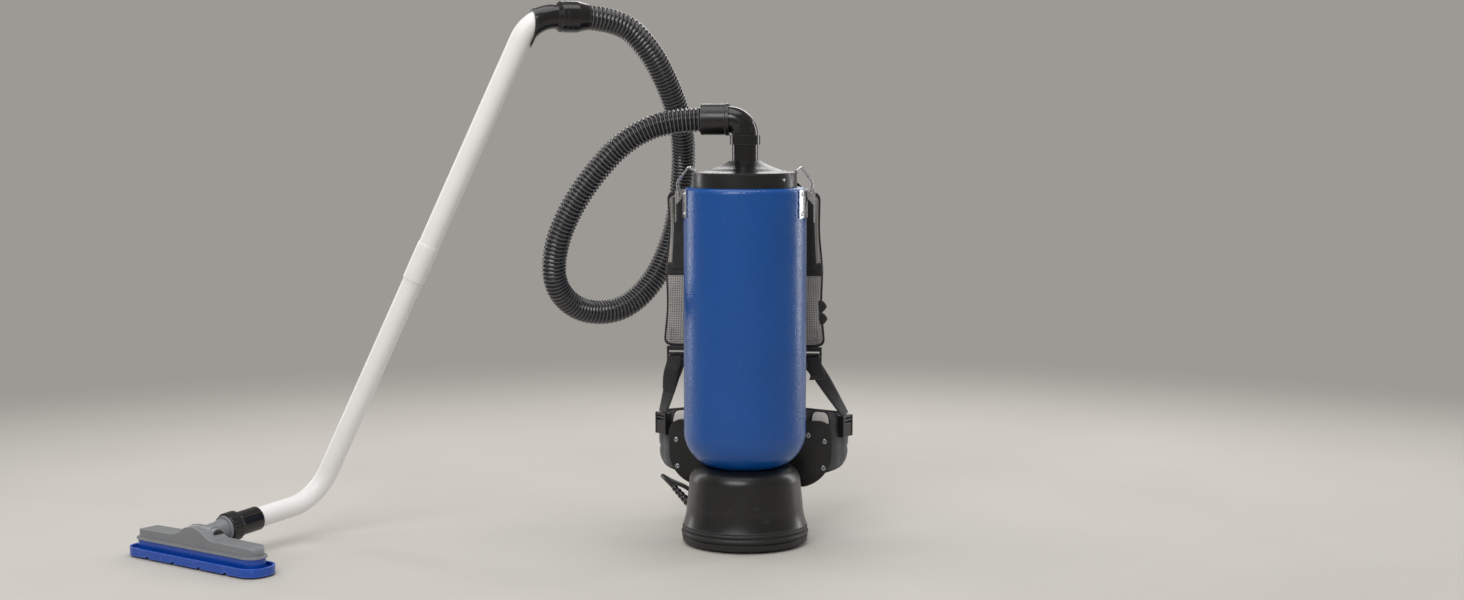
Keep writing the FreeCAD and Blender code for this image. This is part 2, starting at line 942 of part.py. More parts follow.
def build_elbow_collar():
    """Collar that turns on the neck and holds the elbow."""
    split = neck_top_z + contact_gap
    lower = ring(collar_radius, neck_radius + slip_gap, collar_bottom_z, split)
    upper = ring(collar_radius, neck_radius, split, elbow_centre_z)
    return fuse_all([lower, upper])


def build_elbow():
    """Quarter bend from the neck to the hose."""
    start = V(0, 0, neck_top_z + contact_gap)
    base = V(0, 0, elbow_centre_z)
    middle = V(-elbow_bend, 0, elbow_centre_z) + polar(elbow_bend, 0, 0).multiply(math.cos(math.pi / 4))
    middle.z = elbow_centre_z + elbow_bend * math.sin(math.pi / 4)
    turn_end = V(-elbow_bend, 0, outlet_z)
    edges = [
        Part.LineSegment(start, base).toShape(),
        Part.Arc(base, middle, turn_end).toShape(),
        Part.LineSegment(turn_end, V(leg_end_x, 0, outlet_z)).toShape(),
    ]
    return tube(Part.Wire(edges), neck_radius, neck_radius - neck_wall)


def build_cuff_tank():
    """Moulded cuff between the elbow and the hose, with a bead at the elbow's end."""
    seat = cuff_length_tank - hose_plug_in - cuff_shoulder
    throat = cuff_length_tank - hose_plug_in
    steps = [
        (neck_radius, 0),
        (cuff_radius + cuff_bead, 0),
        (cuff_radius + cuff_bead, cuff_bead_length),
        (cuff_radius, cuff_bead_length + cuff_bead),
        (cuff_radius, cuff_length_tank),
        (hose_crest_radius, cuff_length_tank),
        (hose_crest_radius, throat),
        (hose_bore_radius, throat),
        (hose_bore_radius, seat),
        (neck_radius, seat),
    ]
    start = V(hose_start.x - hose_plug_in + cuff_length_tank, 0, outlet_z)
    return along_axis(lathe(steps), start, V(-1, 0, 0))


hose_end = hose_route[-1]
grip_axis = (hose_route[-1] - hose_route[-2]).normalize()
wand_mouth = hose_end - grip_axis * hose_plug_in
grip_seam = cuff_length_wand + contact_gap


def build_cuff_wand():
    """Cuff at the wand's end of the hose, flared from its mouth, with a socket for the grip."""
    socket = grip_spigot_end - contact_gap
    steps = [
        (hose_crest_radius, 0),
        (hose_crest_radius + contact_gap, 0),
        (hose_crest_radius + 2, cuff_throat),
        (cuff_radius, cuff_throat + cuff_taper),
        (cuff_radius, cuff_length_wand),
        (grip_spigot_radius + slip_gap, cuff_length_wand),
        (grip_spigot_radius + slip_gap, socket),
        (hose_bore_radius, socket),
        (hose_bore_radius, hose_plug_in),
        (hose_crest_radius, hose_plug_in),
    ]
    return along_axis(lathe(steps), wand_mouth, grip_axis)


def path_edges(points, radii):
    """Straight edges and tangent arcs along a route, in order."""
    edges = []
    last = points[0]
    for i, radius in enumerate(radii):
        start, middle, end = arc_corner(points[i], points[i + 1], points[i + 2], radius)
        edges.append(Part.LineSegment(last, start).toShape())
        edges.append(Part.Arc(start, middle, end).toShape())
        last = end
    edges.append(Part.LineSegment(last, points[-1]).toShape())
    return edges


def stations(edges, distances):
    """Points and headings at distances along a row of edges."""
    found = []
    index = 0
    passed = 0.0
    for distance in distances:
        while index < len(edges) - 1 and distance > passed + edges[index].Length:
            passed += edges[index].Length
            index += 1
        edge = edges[index]
        value = edge.getParameterByLength(min(max(distance - passed, 0), edge.Length))
        found.append((edge.valueAt(value), edge.tangentAt(value)))
    return found


def steady_frames(places):
    """Point, X axis and heading at each place, the X axis turning as little as it can."""
    heading = places[0][1]
    x_axis = Z_AXIS.cross(heading).normalize()
    frames = []
    for point, tangent in places:
        x_axis = (x_axis - tangent * x_axis.dot(tangent)).normalize()
        frames.append((point, x_axis, tangent))
    return frames


def framed_circle(frame, radius):
    """Circle wire in a frame, starting on its X axis."""
    point, x_axis, tangent = frame
    circle = Part.makeCircle(radius)
    rotation = FreeCAD.Rotation(x_axis, tangent.cross(x_axis), tangent, "ZXY")
    circle.Placement = FreeCAD.Placement(point, rotation)
    return Part.Wire(circle)


def build_hose():
    """Ribbed hose with its bore: square ribs along the route, all of one pitch."""
    edges = path_edges(hose_route, cord_radii(hose_route))
    length = sum(edge.Length for edge in edges)
    plain = 2 * hose_crest_radius
    pitch = (length - 2 * plain) / hose_ribs
    places = [0.0]
    radii = [hose_crest_radius]
    for i in range(hose_ribs):
        start = plain + i * pitch
        for share, radius in ((0.0, hose_crest_radius), (0.15, hose_valley_radius),
                              (0.45, hose_valley_radius), (0.6, hose_crest_radius)):
            places.append(start + share * pitch)
            radii.append(radius)
    places.append(length)
    radii.append(hose_crest_radius)
    frames = steady_frames(stations(edges, places))
    outer = Part.makeLoft([framed_circle(f, r) for f, r in zip(frames, radii)], True, True)
    bore_frames = frames[:2] + frames[4::4] + frames[-1:]
    bore = Part.makeLoft([framed_circle(f, hose_bore_radius) for f in bore_frames], True, True)
    hose = outer.cut(bore)
    section = math.pi * (hose_crest_radius ** 2 - hose_bore_radius ** 2)
    print("hose length %.0f, volume over plain tube %.3f" % (length, hose.Volume / (section * length)))
    print("hose radii", [round(r) for r in cord_radii(hose_route)])
    print("hose least gap to itself %.0f" % least_gap(edges, length, 2 * hose_crest_radius))
    return hose


def least_gap(edges, length, diameter):
    """Least gap between two turns of a route, for stretches more than six diameters apart along it."""
    step = diameter / 2
    count = int(length / step)
    places = [p for p, _ in stations(edges, [step * i for i in range(count + 1)])]
    least = length
    for i, place in enumerate(places):
        for other in places[i + 12:]:
            least = min(least, place.distanceToPoint(other))
    return least - diameter


# Wand

pivot_local = V(0, pivot_offset, pivot_z)
neck_turn = math.radians(neck_pitch)
neck_local = V(0, math.cos(neck_turn), math.sin(neck_turn))
tool_turn = FreeCAD.Rotation(Z_AXIS, tool_yaw)
tool_place = FreeCAD.Placement(tool_centre, tool_turn)
tool_pivot = tool_place.multVec(pivot_local)
neck_axis = tool_turn.multVec(neck_local)
cuff_mouth = tool_pivot + neck_axis * tool_cuff_end
lower_corner = cuff_mouth + neck_axis * lower_reach
upper_corner = wand_mouth + grip_axis * grip_corner
wand_axis = (lower_corner - upper_corner).normalize()


def bend(before, corner, after, radius):
    """Start, centre, turning axis and angle in degrees of the arc that rounds a corner."""
    start, middle, end = arc_corner(before, corner, after, radius)
    heading = (corner - before).normalize()
    leaving = (after - corner).normalize()
    axis = heading.cross(leaving).normalize()
    centre = start + axis.cross(heading) * radius
    return start, centre, axis, math.degrees(heading.getAngle(leaving))


def bend_point(start, centre, axis, degrees):
    """Point on a bend, so many degrees from its start."""
    return centre + FreeCAD.Rotation(axis, degrees).multVec(start - centre)


def bend_edge(start, centre, axis, from_degrees, to_degrees):
    """Arc edge of a bend between two angles."""
    middle = (from_degrees + to_degrees) / 2
    points = [bend_point(start, centre, axis, a) for a in (from_degrees, middle, to_degrees)]
    return Part.Arc(*points).toShape()


top_bend = bend(wand_mouth, upper_corner, lower_corner, grip_bend)


def build_grip():
    """Bent grip: swivel spigot, collar and a bend that ends in an upright mouth with a bead."""
    start, centre, axis, turn = top_bend
    taper_end = grip_seam + grip_collar_length + grip_taper
    steps = [
        (wand_bore_radius, grip_spigot_end),
        (grip_spigot_radius, grip_spigot_end),
        (grip_spigot_radius, grip_seam),
        (grip_collar_radius, grip_seam),
        (grip_collar_radius, grip_seam + grip_collar_length),
        (grip_radius, taper_end),
        (wand_bore_radius, taper_end),
    ]
    collar = along_axis(lathe(steps), wand_mouth, grip_axis)
    bend_end = bend_point(start, centre, axis, turn)
    tail = bend_end + wand_axis * grip_run_on
    edges = [
        Part.LineSegment(wand_mouth + grip_axis * taper_end, start).toShape(),
        bend_edge(start, centre, axis, 0, turn),
        Part.LineSegment(bend_end, tail).toShape(),
    ]
    path = Part.Wire(edges)
    mouth = bend_point(start, centre, axis, grip_turn)
    size = 4 * grip_bend
    beyond = along_axis(box(-size, size, -size, size, 0, size), mouth, grip_axis)
    rim_zone = along_axis(box(-size, size, -size, size, -grip_bead_length, 0), mouth, grip_axis)
    body = pipe(path, grip_radius).cut(beyond)
    bead = pipe(path, grip_radius + grip_bead).common(rim_zone)
    seat_start = grip_turn - wand_insert_turn
    bore = pipe(path, wand_bore_radius)
    seat_edges = [
        bend_edge(start, centre, axis, seat_start, turn),
        Part.LineSegment(bend_end, tail).toShape(),
    ]
    seat = pipe(Part.Wire(seat_edges), wand_radius)
    tube_part = fuse_all([body, bead]).cut(bore).cut(seat)
    return fuse_all([collar, tube_part])


def build_upper_wand():
    """White tube from the grip, with a belled socket for the lower tube."""
    start, centre, axis, turn = top_bend
    bend_end = bend_point(start, centre, axis, turn)
    bell_stop = upper_corner + wand_axis * (bell_end - bell_length)
    edges = [
        bend_edge(start, centre, axis, grip_turn - wand_insert_turn, turn),
        Part.LineSegment(bend_end, bell_stop).toShape(),
    ]
    body = tube(Part.Wire(edges), wand_radius, wand_bore_radius)
    socket = bell_length - spigot_length - contact_gap
    steps = [
        (wand_bore_radius, 0),
        (wand_radius, 0),
        (bell_radius, bell_step),
        (bell_radius, bell_length),
        (spigot_radius + slip_gap, bell_length),
        (spigot_radius + slip_gap, socket),
        (wand_bore_radius, socket),
    ]
    return fuse_all([body, along_axis(lathe(steps), bell_stop, wand_axis)])


def build_lower_wand():
    """White tube with its spigot in the bell and a bend down to the tool's cuff."""
    shoulder = upper_corner + wand_axis * (bell_end + contact_gap)
    tail = cuff_mouth - neck_axis * cuff_insert
    path = Part.Wire(path_edges([shoulder, lower_corner, tail], [lower_bend]))
    body = tube(path, lower_radius, lower_bore_radius)
    steps = [
        (lower_bore_radius, 0),
        (spigot_radius, 0),
        (spigot_radius, spigot_length + contact_gap),
        (lower_bore_radius, spigot_length + contact_gap),
    ]
    start = shoulder - wand_axis * (spigot_length + contact_gap)
    return fuse_all([body, along_axis(lathe(steps), start, wand_axis)])


# Floor tool, built about its own centre with X along its length

def place_tool(shape):
    """Move a shape from the tool's own frame to where the tool stands."""
    moved = shape.copy()
    moved.Placement = tool_place.multiply(shape.Placement)
    return moved


def on_neck(steps):
    """Turned piece on the neck's axis, from a closed outline of (radius, distance from the pivot)."""
    return along_axis(lathe(steps), tool_pivot, neck_axis)


def build_tool_skirt():
    """Soft blue skirt: outer lip, trough floor and the inner tower under the body."""
    lip_half, lip_y = tool_length / 2, tool_depth / 2
    lip_corner = lip_y - 4
    inner_corner = lip_corner - tool_lip_wall
    top = tool_lift + tool_lip_height
    web_top = tool_web_z + tool_lip_wall
    lip = slab(lip_half, lip_y, lip_corner, tool_lift, top)
    lip = lip.cut(slab(lip_half - tool_lip_wall, lip_y - tool_lip_wall, inner_corner, 0, top + 1))
    web = slab(lip_half - 1, lip_y - 1, lip_corner - 1, tool_web_z, web_top)
    half, y = tower_length / 2, tower_depth / 2
    tower = slab(half, y, y - 2, tool_web_z, tower_top_z)
    skirt = fuse_all([lip, web, tower])
    channel = slab(half - tower_wall, y - tower_wall, y - 2 - tower_wall, 0, tower_top_z + 1)
    skirt = skirt.cut(channel)
    for i in range(notch_count):
        x = (i - (notch_count - 1) / 2) * notch_pitch
        half_x = notch_width / 2
        skirt = skirt.cut(box(x - half_x, x + half_x, -lip_y - 1, lip_y + 1, 0, tool_lift + notch_height))
    return place_tool(skirt)


def body_profile(inset):
    """Side outline of the tool's body, from the flange up to the hump, moved in by a distance."""
    half = tower_length / 2 - body_inset - inset
    low = tower_top_z + (flange_thickness if inset == 0 else -1)
    end_z = tower_top_z + flange_thickness + body_end_height - inset
    crest_z = tower_top_z + flange_thickness + hump_height - inset
    foot = hump_half_width + 14 - inset / 2
    knee = (hump_crest_half + 8 - inset / 2, crest_z - 6)
    sag = ((foot + knee[0]) / 2 - 3, (end_z + knee[1]) / 2 - 2.5)
    round_x, round_z = 3, 4
    right = [
        (half, low),
        ((half - round_x, end_z - round_z), (half - 11, end_z)),
        (foot, end_z + 1),
        (sag, knee),
    ]
    left = [
        ((0, crest_z), (-knee[0], knee[1])),
        ((-sag[0], sag[1]), (-foot, end_z + 1)),
        (-half + 11, end_z),
        ((-half + round_x, end_z - round_z), (-half, low)),
    ]
    return right + left


def body_slab(inset):
    """Body's form between its two long faces, with round ends."""
    half_y = tower_depth / 2 - 1 - inset
    face = Part.Face(outline(body_profile(inset), lambda x, z: V(x, -half_y, z)))
    form = face.extrude(V(0, 2 * half_y, 0))
    half_x = tower_length / 2 - body_inset - inset
    return form.common(slab(half_x, half_y, half_y - 2, 0, 4 * pivot_z))


def cheek_span():
    """Inner and outer distance of a cheek from the tool's middle."""
    inner = barrel_half + contact_gap
    return inner, inner + cheek_thickness


def build_tool_body():
    """Grey body: flange, hump, and two cheeks that carry the neck's pivot."""
    rim_x = tower_length / 2 + flange_overhang
    rim_y = tower_depth / 2 + flange_overhang
    flange_top = tower_top_z + flange_thickness
    flange = slab(rim_x, rim_y, rim_y - 2, tower_top_z, flange_top)
    outer = fuse_all([body_slab(0), flange])
    inner, reach = cheek_span()
    hollow = body_slab(body_wall)
    for side in (-1, 1):
        far = reach + pivot_cap_thickness + body_wall
        low_x, high_x = sorted((side * (inner - body_wall), side * far))
        hollow = hollow.cut(box(low_x, high_x, -tower_depth, tower_depth, 0, 4 * pivot_z))
    pieces = [outer]
    for side in (-1, 1):
        start = side * inner if side > 0 else -reach
        cheek = Part.makeCylinder(cheek_radius, cheek_thickness, V(start, pivot_offset, pivot_z), V(1, 0, 0))
        stem = box(start, start + cheek_thickness, pivot_offset - cheek_radius, pivot_offset + cheek_radius,
                   flange_top, pivot_z)
        pieces += [cheek, stem]
    body = fuse_all(pieces).cut(hollow)
    room = barrel_radius + contact_gap
    slot = Part.makeCylinder(room, 2 * inner, V(-inner, pivot_offset, pivot_z), V(1, 0, 0))
    above = box(-inner, inner, pivot_offset - room, 4 * room, pivot_z, 4 * pivot_z)
    behind = box(-inner, inner, pivot_offset, 4 * room, pivot_z - room, 4 * pivot_z)
    body = body.cut(slot.fuse(above).fuse(behind))
    body = body.cut(box(-duct_half, duct_half, -duct_half, duct_half, tower_top_z - 1, pivot_z))
    for side in (-1, 1):
        seat = Part.makeCylinder(pivot_cap_radius + contact_gap, pivot_cap_thickness + contact_gap,
                                 V(side * reach, pivot_offset, pivot_z), V(side, 0, 0))
        body = body.cut(seat)
    pin_start = V(-reach - 1, pivot_offset, pivot_z)
    pins = Part.makeCylinder(pivot_pin_radius, 2 * reach + 2, pin_start, V(1, 0, 0))
    return place_tool(body.cut(pins))


def build_pivot_caps():
    """Two black caps whose pins run into the neck's barrel."""
    inner, reach = cheek_span()
    caps = []
    for side in (-1, 1):
        axis = V(side, 0, 0)
        cap_start = V(side * reach, pivot_offset, pivot_z)
        cap = Part.makeCylinder(pivot_cap_radius, pivot_cap_thickness, cap_start, axis)
        pin_start = side * (barrel_half - pivot_pin_depth)
        pin = Part.makeCylinder(pivot_pin_radius, pivot_pin_depth + reach - barrel_half,
                                V(pin_start, pivot_offset, pivot_z), axis)
        caps.append(fuse_all([cap, pin]))
    return place_tool(Part.makeCompound(caps))


def build_tool_neck():
    """Barrel on the pivot, with the hollow neck, its flange and the swivel spigot."""
    barrel_start = V(-barrel_half, pivot_offset, pivot_z)
    barrel = Part.makeCylinder(barrel_radius, 2 * barrel_half, barrel_start, V(1, 0, 0))
    flange_end = neck_flange_at + neck_flange_thickness
    steps = [
        (0, 0),
        (tool_neck_radius, 0),
        (tool_neck_radius, barrel_radius + 3),
        (tool_neck_radius + 2.5, neck_flange_at),
        (neck_flange_radius, neck_flange_at),
        (neck_flange_radius, flange_end),
        (neck_spigot_radius, flange_end),
        (neck_spigot_radius, neck_spigot_end),
        (0, neck_spigot_end),
    ]
    neck = along_axis(lathe(steps), pivot_local, neck_local)
    whole = fuse_all([barrel, neck])
    bore = along_axis(Part.makeCylinder(tool_neck_bore, 2 * neck_spigot_end), pivot_local, neck_local)
    duct = box(-tool_neck_bore, tool_neck_bore, pivot_offset - duct_half + 3, pivot_offset + duct_half - 3,
               pivot_z - 2 * barrel_radius, pivot_z)
    whole = whole.cut(bore.fuse(duct))
    for side in (-1, 1):
        depth = pivot_pin_depth + contact_gap
        hole = Part.makeCylinder(pivot_pin_radius + running_gap, depth + 1,
                                 V(side * (barrel_half - depth), pivot_offset, pivot_z), V(side, 0, 0))
        whole = whole.cut(hole)
    return place_tool(whole)


def build_tool_nut():
    """Knurled nut that turns on the neck's spigot."""
    start = neck_flange_at + neck_flange_thickness + contact_gap
    end = start + nut_length
    steps = [
        (neck_spigot_radius + slip_gap, start),
        (nut_radius - 1, start),
        (nut_radius, start + 1),
        (nut_radius, end),
        (neck_spigot_radius + slip_gap, end),
    ]
    nut = lathe(steps)
    for i in range(nut_ribs):
        p = polar(nut_radius + nut_rib_depth, 360 / nut_ribs * i, 0)
        nut = nut.cut(disc(2 * nut_rib_depth, start - 1, end + 1, (p.x, p.y)))
    return along_axis(nut, tool_pivot, neck_axis)


def build_tool_cuff():
    """Plain cuff between the nut and the lower wand."""
    start = neck_flange_at + neck_flange_thickness + contact_gap + nut_length
    stop = tool_cuff_end - cuff_insert
    steps = [
        (lower_bore_radius, start),
        (tool_cuff_radius + 1, start),
        (tool_cuff_radius, start + 4),
        (tool_cuff_radius, tool_cuff_end),
        (lower_radius, tool_cuff_end),
        (lower_radius, stop),
        (lower_bore_radius, stop),
    ]
    return on_neck(steps)


def build_brush_strips():
    """Two rows of bristles under the trough, which the tool stands on."""
    middle = (tower_depth / 2 + tool_depth / 2 - tool_lip_wall) / 2
    strips = []
    for side in (-1, 1):
        y = side * middle
        strips.append(box(-strip_length / 2, strip_length / 2, y - strip_width / 2, y + strip_width / 2,
                          0, tool_web_z))
    return place_tool(Part.makeCompound(strips))


# Latches, built at +X and mirrored

latch_pivot = V(tank_radius + pivot_out, 0, tank_top_z - pivot_drop)
throw = math.radians(throw_angle)
bail_pivot = latch_pivot - V(throw_radius * math.sin(throw), 0, throw_radius * math.cos(throw))


def both_sides(shape):
    """Piece at +X and its mirror image at -X, as one compound."""
    return Part.makeCompound([shape, mirror_x(shape)])


def build_latch_plates():
    """Curved plates on the tank with two ears and a pivot pin each."""
    low, high = tank_top_z - latch_plate_bottom, tank_top_z - latch_plate_top
    shell = ring(tank_radius + latch_plate_thickness, tank_radius, low, high)
    reach = 2 * tank_radius
    edge = polar(reach, latch_plate_half_angle, 0)
    corners = [V(0, 0, low), V(edge.x, -edge.y, low), V(edge.x, edge.y, low), V(0, 0, low)]
    wedge = Part.Face(Part.makePolygon(corners)).extrude(V(0, 0, high - low))
    pieces = [shell.common(wedge)]
    ear_low = latch_pivot.z - 2 * ear_radius - 3
    inner_x = tank_radius + latch_plate_thickness / 2
    for side in (-1, 1):
        y = side * (ear_half + ear_thickness / 2)
        web = box(inner_x, latch_pivot.x, y - ear_thickness / 2, y + ear_thickness / 2, ear_low, high)
        web = web.cut(along_y_box(latch_pivot.x - 30, latch_pivot.x + 1, latch_pivot.z, high + 1))
        eye = across(ear_radius, ear_thickness / 2, V(latch_pivot.x, y, latch_pivot.z))
        pieces += [web, eye]
    pin_end = lever_half_width + latch_pin_run
    pieces.append(across(latch_pin_radius, pin_end + latch_head, latch_pivot))
    for side in (-1, 1):
        head_y = side * (pin_end + latch_head / 2)
        pieces.append(across(ear_radius, latch_head / 2, latch_pivot + V(0, head_y, 0)))
    return both_sides(fuse_all(pieces))


def along_y_box(x0, x1, z0, z1):
    """Box as wide in Y as any latch piece."""
    return box(x0, x1, -2 * lever_half_width, 2 * lever_half_width, z0, z1)


def build_latch_rivets():
    """Rivet heads that hold the latch plates."""
    heads = []
    start = tank_radius + latch_plate_thickness
    low = tank_top_z - latch_plate_bottom + rivet_inset
    high = tank_top_z - latch_plate_top - rivet_inset
    for base_angle in (0, 180):
        for side in (-1, 1):
            for z in (low, high):
                p = polar(1, base_angle + side * rivet_half_angle, 0)
                foot = V(p.x * (tank_radius + 0.2), p.y * (tank_radius + 0.2), z)
                head = Part.makeCylinder(rivet_radius, start + rivet_height - tank_radius - 0.2, foot, p)
                heads.append(head.cut(disc(start, z - 2 * rivet_radius, z + 2 * rivet_radius)))
    return Part.makeCompound(heads)


def build_lever():
    """Lever at +X: an outer plate and two cheeks with holes for the pivot pin and the bail."""
    face_x = latch_pivot.x + lever_offset
    tip_z = latch_pivot.z - lever_length
    plate = box(face_x, face_x + lever_plate, -lever_half_width, lever_half_width, tip_z, latch_pivot.z + 1)
    pieces = [plate]
    outer_x = face_x + lever_plate
    eye = ear_radius + 1
    nose = bail_wire + 2
    for side in (-1, 1):
        y = side * (lever_half_width - cheek_width / 2)
        corners = [
            V(outer_x, y, latch_pivot.z + 1),
            V(latch_pivot.x, y, latch_pivot.z + eye * 0.7),
            V(latch_pivot.x - eye, y, latch_pivot.z),
            V(bail_pivot.x - nose, y, bail_pivot.z),
            V(bail_pivot.x, y, bail_pivot.z - nose),
            V(face_x, y, bail_pivot.z - 3 * nose),
            V(face_x, y, tip_z),
            V(outer_x, y, tip_z),
        ]
        wire = Part.makePolygon(corners + [corners[0]])
        cheek = Part.Face(wire).extrude(V(0, cheek_width, 0))
        cheek.translate(V(0, -cheek_width / 2, 0))
        pieces.append(cheek)
        pieces.append(across(eye, cheek_width / 2, V(latch_pivot.x, y, latch_pivot.z)))
    lever = fuse_all(pieces)
    lever = lever.cut(across(latch_pin_radius + running_gap, 2 * lever_half_width, latch_pivot))
    return lever.cut(across(bail_wire + running_gap, 2 * lever_half_width, bail_pivot))


def bail_points():
    """Corner points of the wire bail, from one end in the lever, over the lid's lip and back."""
    bar_x = lid_edge_radius - hook_overlap
    slope = lid_ledge_rise / (lid_edge_radius - lid_ledge_inner)
    bar_z = band_top_z + lid_lip_height + slope * hook_overlap + contact_gap + bail_wire
    bulge_x = tank_radius + bail_bulge
    inner = lever_half_width - cheek_width - 0.5
    half = bail_half_width
    side = [
        V(bail_pivot.x, -inner, bail_pivot.z),
        V(bail_pivot.x, -half, bail_pivot.z),
        V(bulge_x, -half, tank_top_z + hook_rise),
        V(bar_x + hook_reach, -half, bar_z + hook_rise),
        V(bar_x, -half, bar_z),
    ]
    return side + [V(p.x, -p.y, p.z) for p in reversed(side)]


def build_bail():
    """Wire bail at +X: two legs bowed round the tank's rim and a hook bar on the lid's lip."""
    bends = [wire_bend, 4 * wire_bend, wire_bend, wire_bend]
    path = Part.Wire(path_edges(bail_points(), bends + bends[::-1]))
    return pipe(path, bail_wire)


# Back frame

plate_face_y = tank_radius + plate_gap + plate_thickness
hip_face_y = plate_face_y + plate_thickness


def upright_plate(steps, y0, thickness):
    """Plate in the XZ plane from a closed outline, thickened towards +Y."""
    face = Part.Face(outline(steps, lambda x, z: V(x, y0, z)))
    return face.extrude(V(0, thickness, 0))


def build_back_plate():
    """Flat back frame that the harness is fixed to."""
    half_z = (plate_top_z - plate_bottom_z) / 2
    middle = (plate_top_z + plate_bottom_z) / 2
    start_y = plate_face_y - plate_thickness
    wire = rounded_rectangle(plate_half_width, half_z, plate_corner, lambda x, z: V(x, start_y, z + middle))
    return Part.Face(wire).extrude(V(0, plate_thickness, 0))


def build_standoffs():
    """Posts from the tank's wall to the back frame."""
    posts = []
    for x in (-standoff_x, standoff_x):
        for z in standoff_rows:
            post = rod(V(x, tank_radius / 2, z), V(x, plate_face_y - plate_thickness, z), standoff_radius)
            posts.append(post.cut(disc(tank_radius, z - 2 * standoff_radius, z + 2 * standoff_radius)))
    return Part.makeCompound(posts)


def build_hip_plate():
    """Lumbar plate, wide at the top and drawn in below."""
    corner = hip_plate_corner
    half, toe = hip_plate_half, hip_plate_toe_half
    high, low = hip_plate_top_z, hip_plate_bottom_z
    waist = hip_plate_waist_z
    bow = ((half + toe) / 2 + 10, (waist + low) / 2 - 8)
    steps = [
        (-toe, low),
        (toe, low),
        (bow, (half, waist)),
        (half, high - corner),
        corner_arc((half - corner, high - corner), corner, 0, 90),
        (-half + corner, high),
        corner_arc((-half + corner, high - corner), corner, 90, 180),
        (-half, waist),
        ((-bow[0], bow[1]), (-toe, low)),
    ]
    plate = upright_plate(steps, plate_face_y, plate_thickness)
    for x, z in hip_screw_sites():
        plate = plate.cut(rod(V(x, plate_face_y - 1, z), V(x, hip_face_y + 1, z), screw_radius))
    return plate


def hip_screw_sites():
    """Places of the button screws on both sides of the lumbar plate."""
    return [(side * x, z) for side in (-1, 1) for x, z in hip_screw_places]


def build_hip_screws():
    """Button-head screws that hold the hip pads to the lumbar plate."""
    screws = []
    for x, z in hip_screw_sites():
        head = rod(V(x, plate_face_y - button_height, z), V(x, plate_face_y, z), button_radius)
        shank = rod(V(x, plate_face_y, z), V(x, hip_face_y, z), screw_radius)
        screws.append(fuse_all([head, shank]))
    return Part.makeCompound(screws)


# Soft harness

def pad_section(centre, across_axis, out_axis, half_width, back, front, edge):
    """Crowned pad section: a flat back, a crowned front and rounded sides."""
    def at(w, t):
        return centre + across_axis * w + out_axis * t
    back_left, back_right = at(-half_width, -back), at(half_width, -back)
    front_right, front_left = at(half_width, edge - back), at(-half_width, edge - back)
    round_out = edge * 0.35
    edges = [
        Part.LineSegment(back_left, back_right).toShape(),
        Part.Arc(back_right, at(half_width + round_out, edge / 2 - back), front_right).toShape(),
        Part.Arc(front_right, at(0, front), front_left).toShape(),
        Part.Arc(front_left, at(-half_width - round_out, edge / 2 - back), back_left).toShape(),
    ]
    return Part.Wire(edges)


def build_back_pad():
    """Back cushion with sewn channels, crowned and drawn in at its sides."""
    height = back_pad_top_z - back_pad_bottom_z
    pitch = height / back_pad_channels
    wires = []
    for share in (-1.0, -0.94, -0.7, -0.35, 0.0, 0.35, 0.7, 0.94, 1.0):
        x = share * back_pad_half
        full = math.sqrt(1 - 0.82 * share ** 6)
        draw = 4 * share ** 2 if abs(share) < 1 else 7
        depth = back_pad_thickness * full
        floor = (back_pad_thickness - back_pad_channel_depth) * full
        low, high = back_pad_bottom_z + draw, back_pad_top_z - draw
        steps = [(plate_face_y, low), (plate_face_y + floor * 0.6, low)]
        for k in range(back_pad_channels):
            z1 = back_pad_bottom_z + pitch * (k + 1) if k < back_pad_channels - 1 else high
            z0 = back_pad_bottom_z + pitch * k if k else low
            end = floor if k < back_pad_channels - 1 else floor * 0.6
            steps.append(((plate_face_y + depth, (z0 + z1) / 2), (plate_face_y + end, z1)))
        steps.append((plate_face_y, high))
        wires.append(outline(steps, lambda y, z: V(x, y, z)))
    return Part.makeLoft(wires, True, True)


def shoulder_station(z):
    """Centre X from the middle of the harness, back Y, half width and thickness of a shoulder pad."""
    share = (shoulder_top_z - z) / (shoulder_top_z - shoulder_bottom_z)
    out = plate_face_y + back_pad_thickness + contact_gap
    settle = min(1.0, share / 0.2)
    settle = settle * settle * (3 - 2 * settle)
    bow = shoulder_bow * math.sin(math.pi * share) * settle * 0.2
    back = plate_face_y + (out - plate_face_y) * settle + bow
    half = shoulder_width / 2 - 3 * math.sin(2 * math.pi * share) ** 2
    x = shoulder_spread - shoulder_start_gap + 2 * shoulder_start_gap * share * 0.7
    thickness = shoulder_thickness * (0.75 + 0.25 * math.sin(math.pi * min(1, max(0, share))) ** 0.5)
    return x, back, half, thickness


def shoulder_section(z, side, grow):
    """Section of a shoulder pad at a height, grown by a distance."""
    x, back, half, thickness = shoulder_station(z)
    centre = V(shoulder_shift + side * x, back, z)
    edge = 0.55 * thickness
    return pad_section(centre, V(1, 0, 0), V(0, 1, 0), half + grow, grow, thickness + grow, edge + 2 * grow)


def build_shoulder_pad(side):
    """Long shoulder pad that hangs from the top of the back frame."""
    count = 14
    span = shoulder_top_z - shoulder_bottom_z
    wires = []
    for i in range(count + 1):
        wires.append(shoulder_section(shoulder_top_z - span * i / count, side, 0))
    return Part.makeLoft(wires, True, True)


def build_pad_bands(pads):
    """Webbing bands sewn round the shoulder pads."""
    bands = []
    for side, pad in zip((-1, 1), pads):
        low, high = band_strap_z - band_strap_height / 2, band_strap_z + band_strap_height / 2
        wires = [shoulder_section(z, side, band_strap_thickness / 2) for z in (low, high)]
        bands.append(Part.makeLoft(wires, True, True).cut(pad))
    return bands


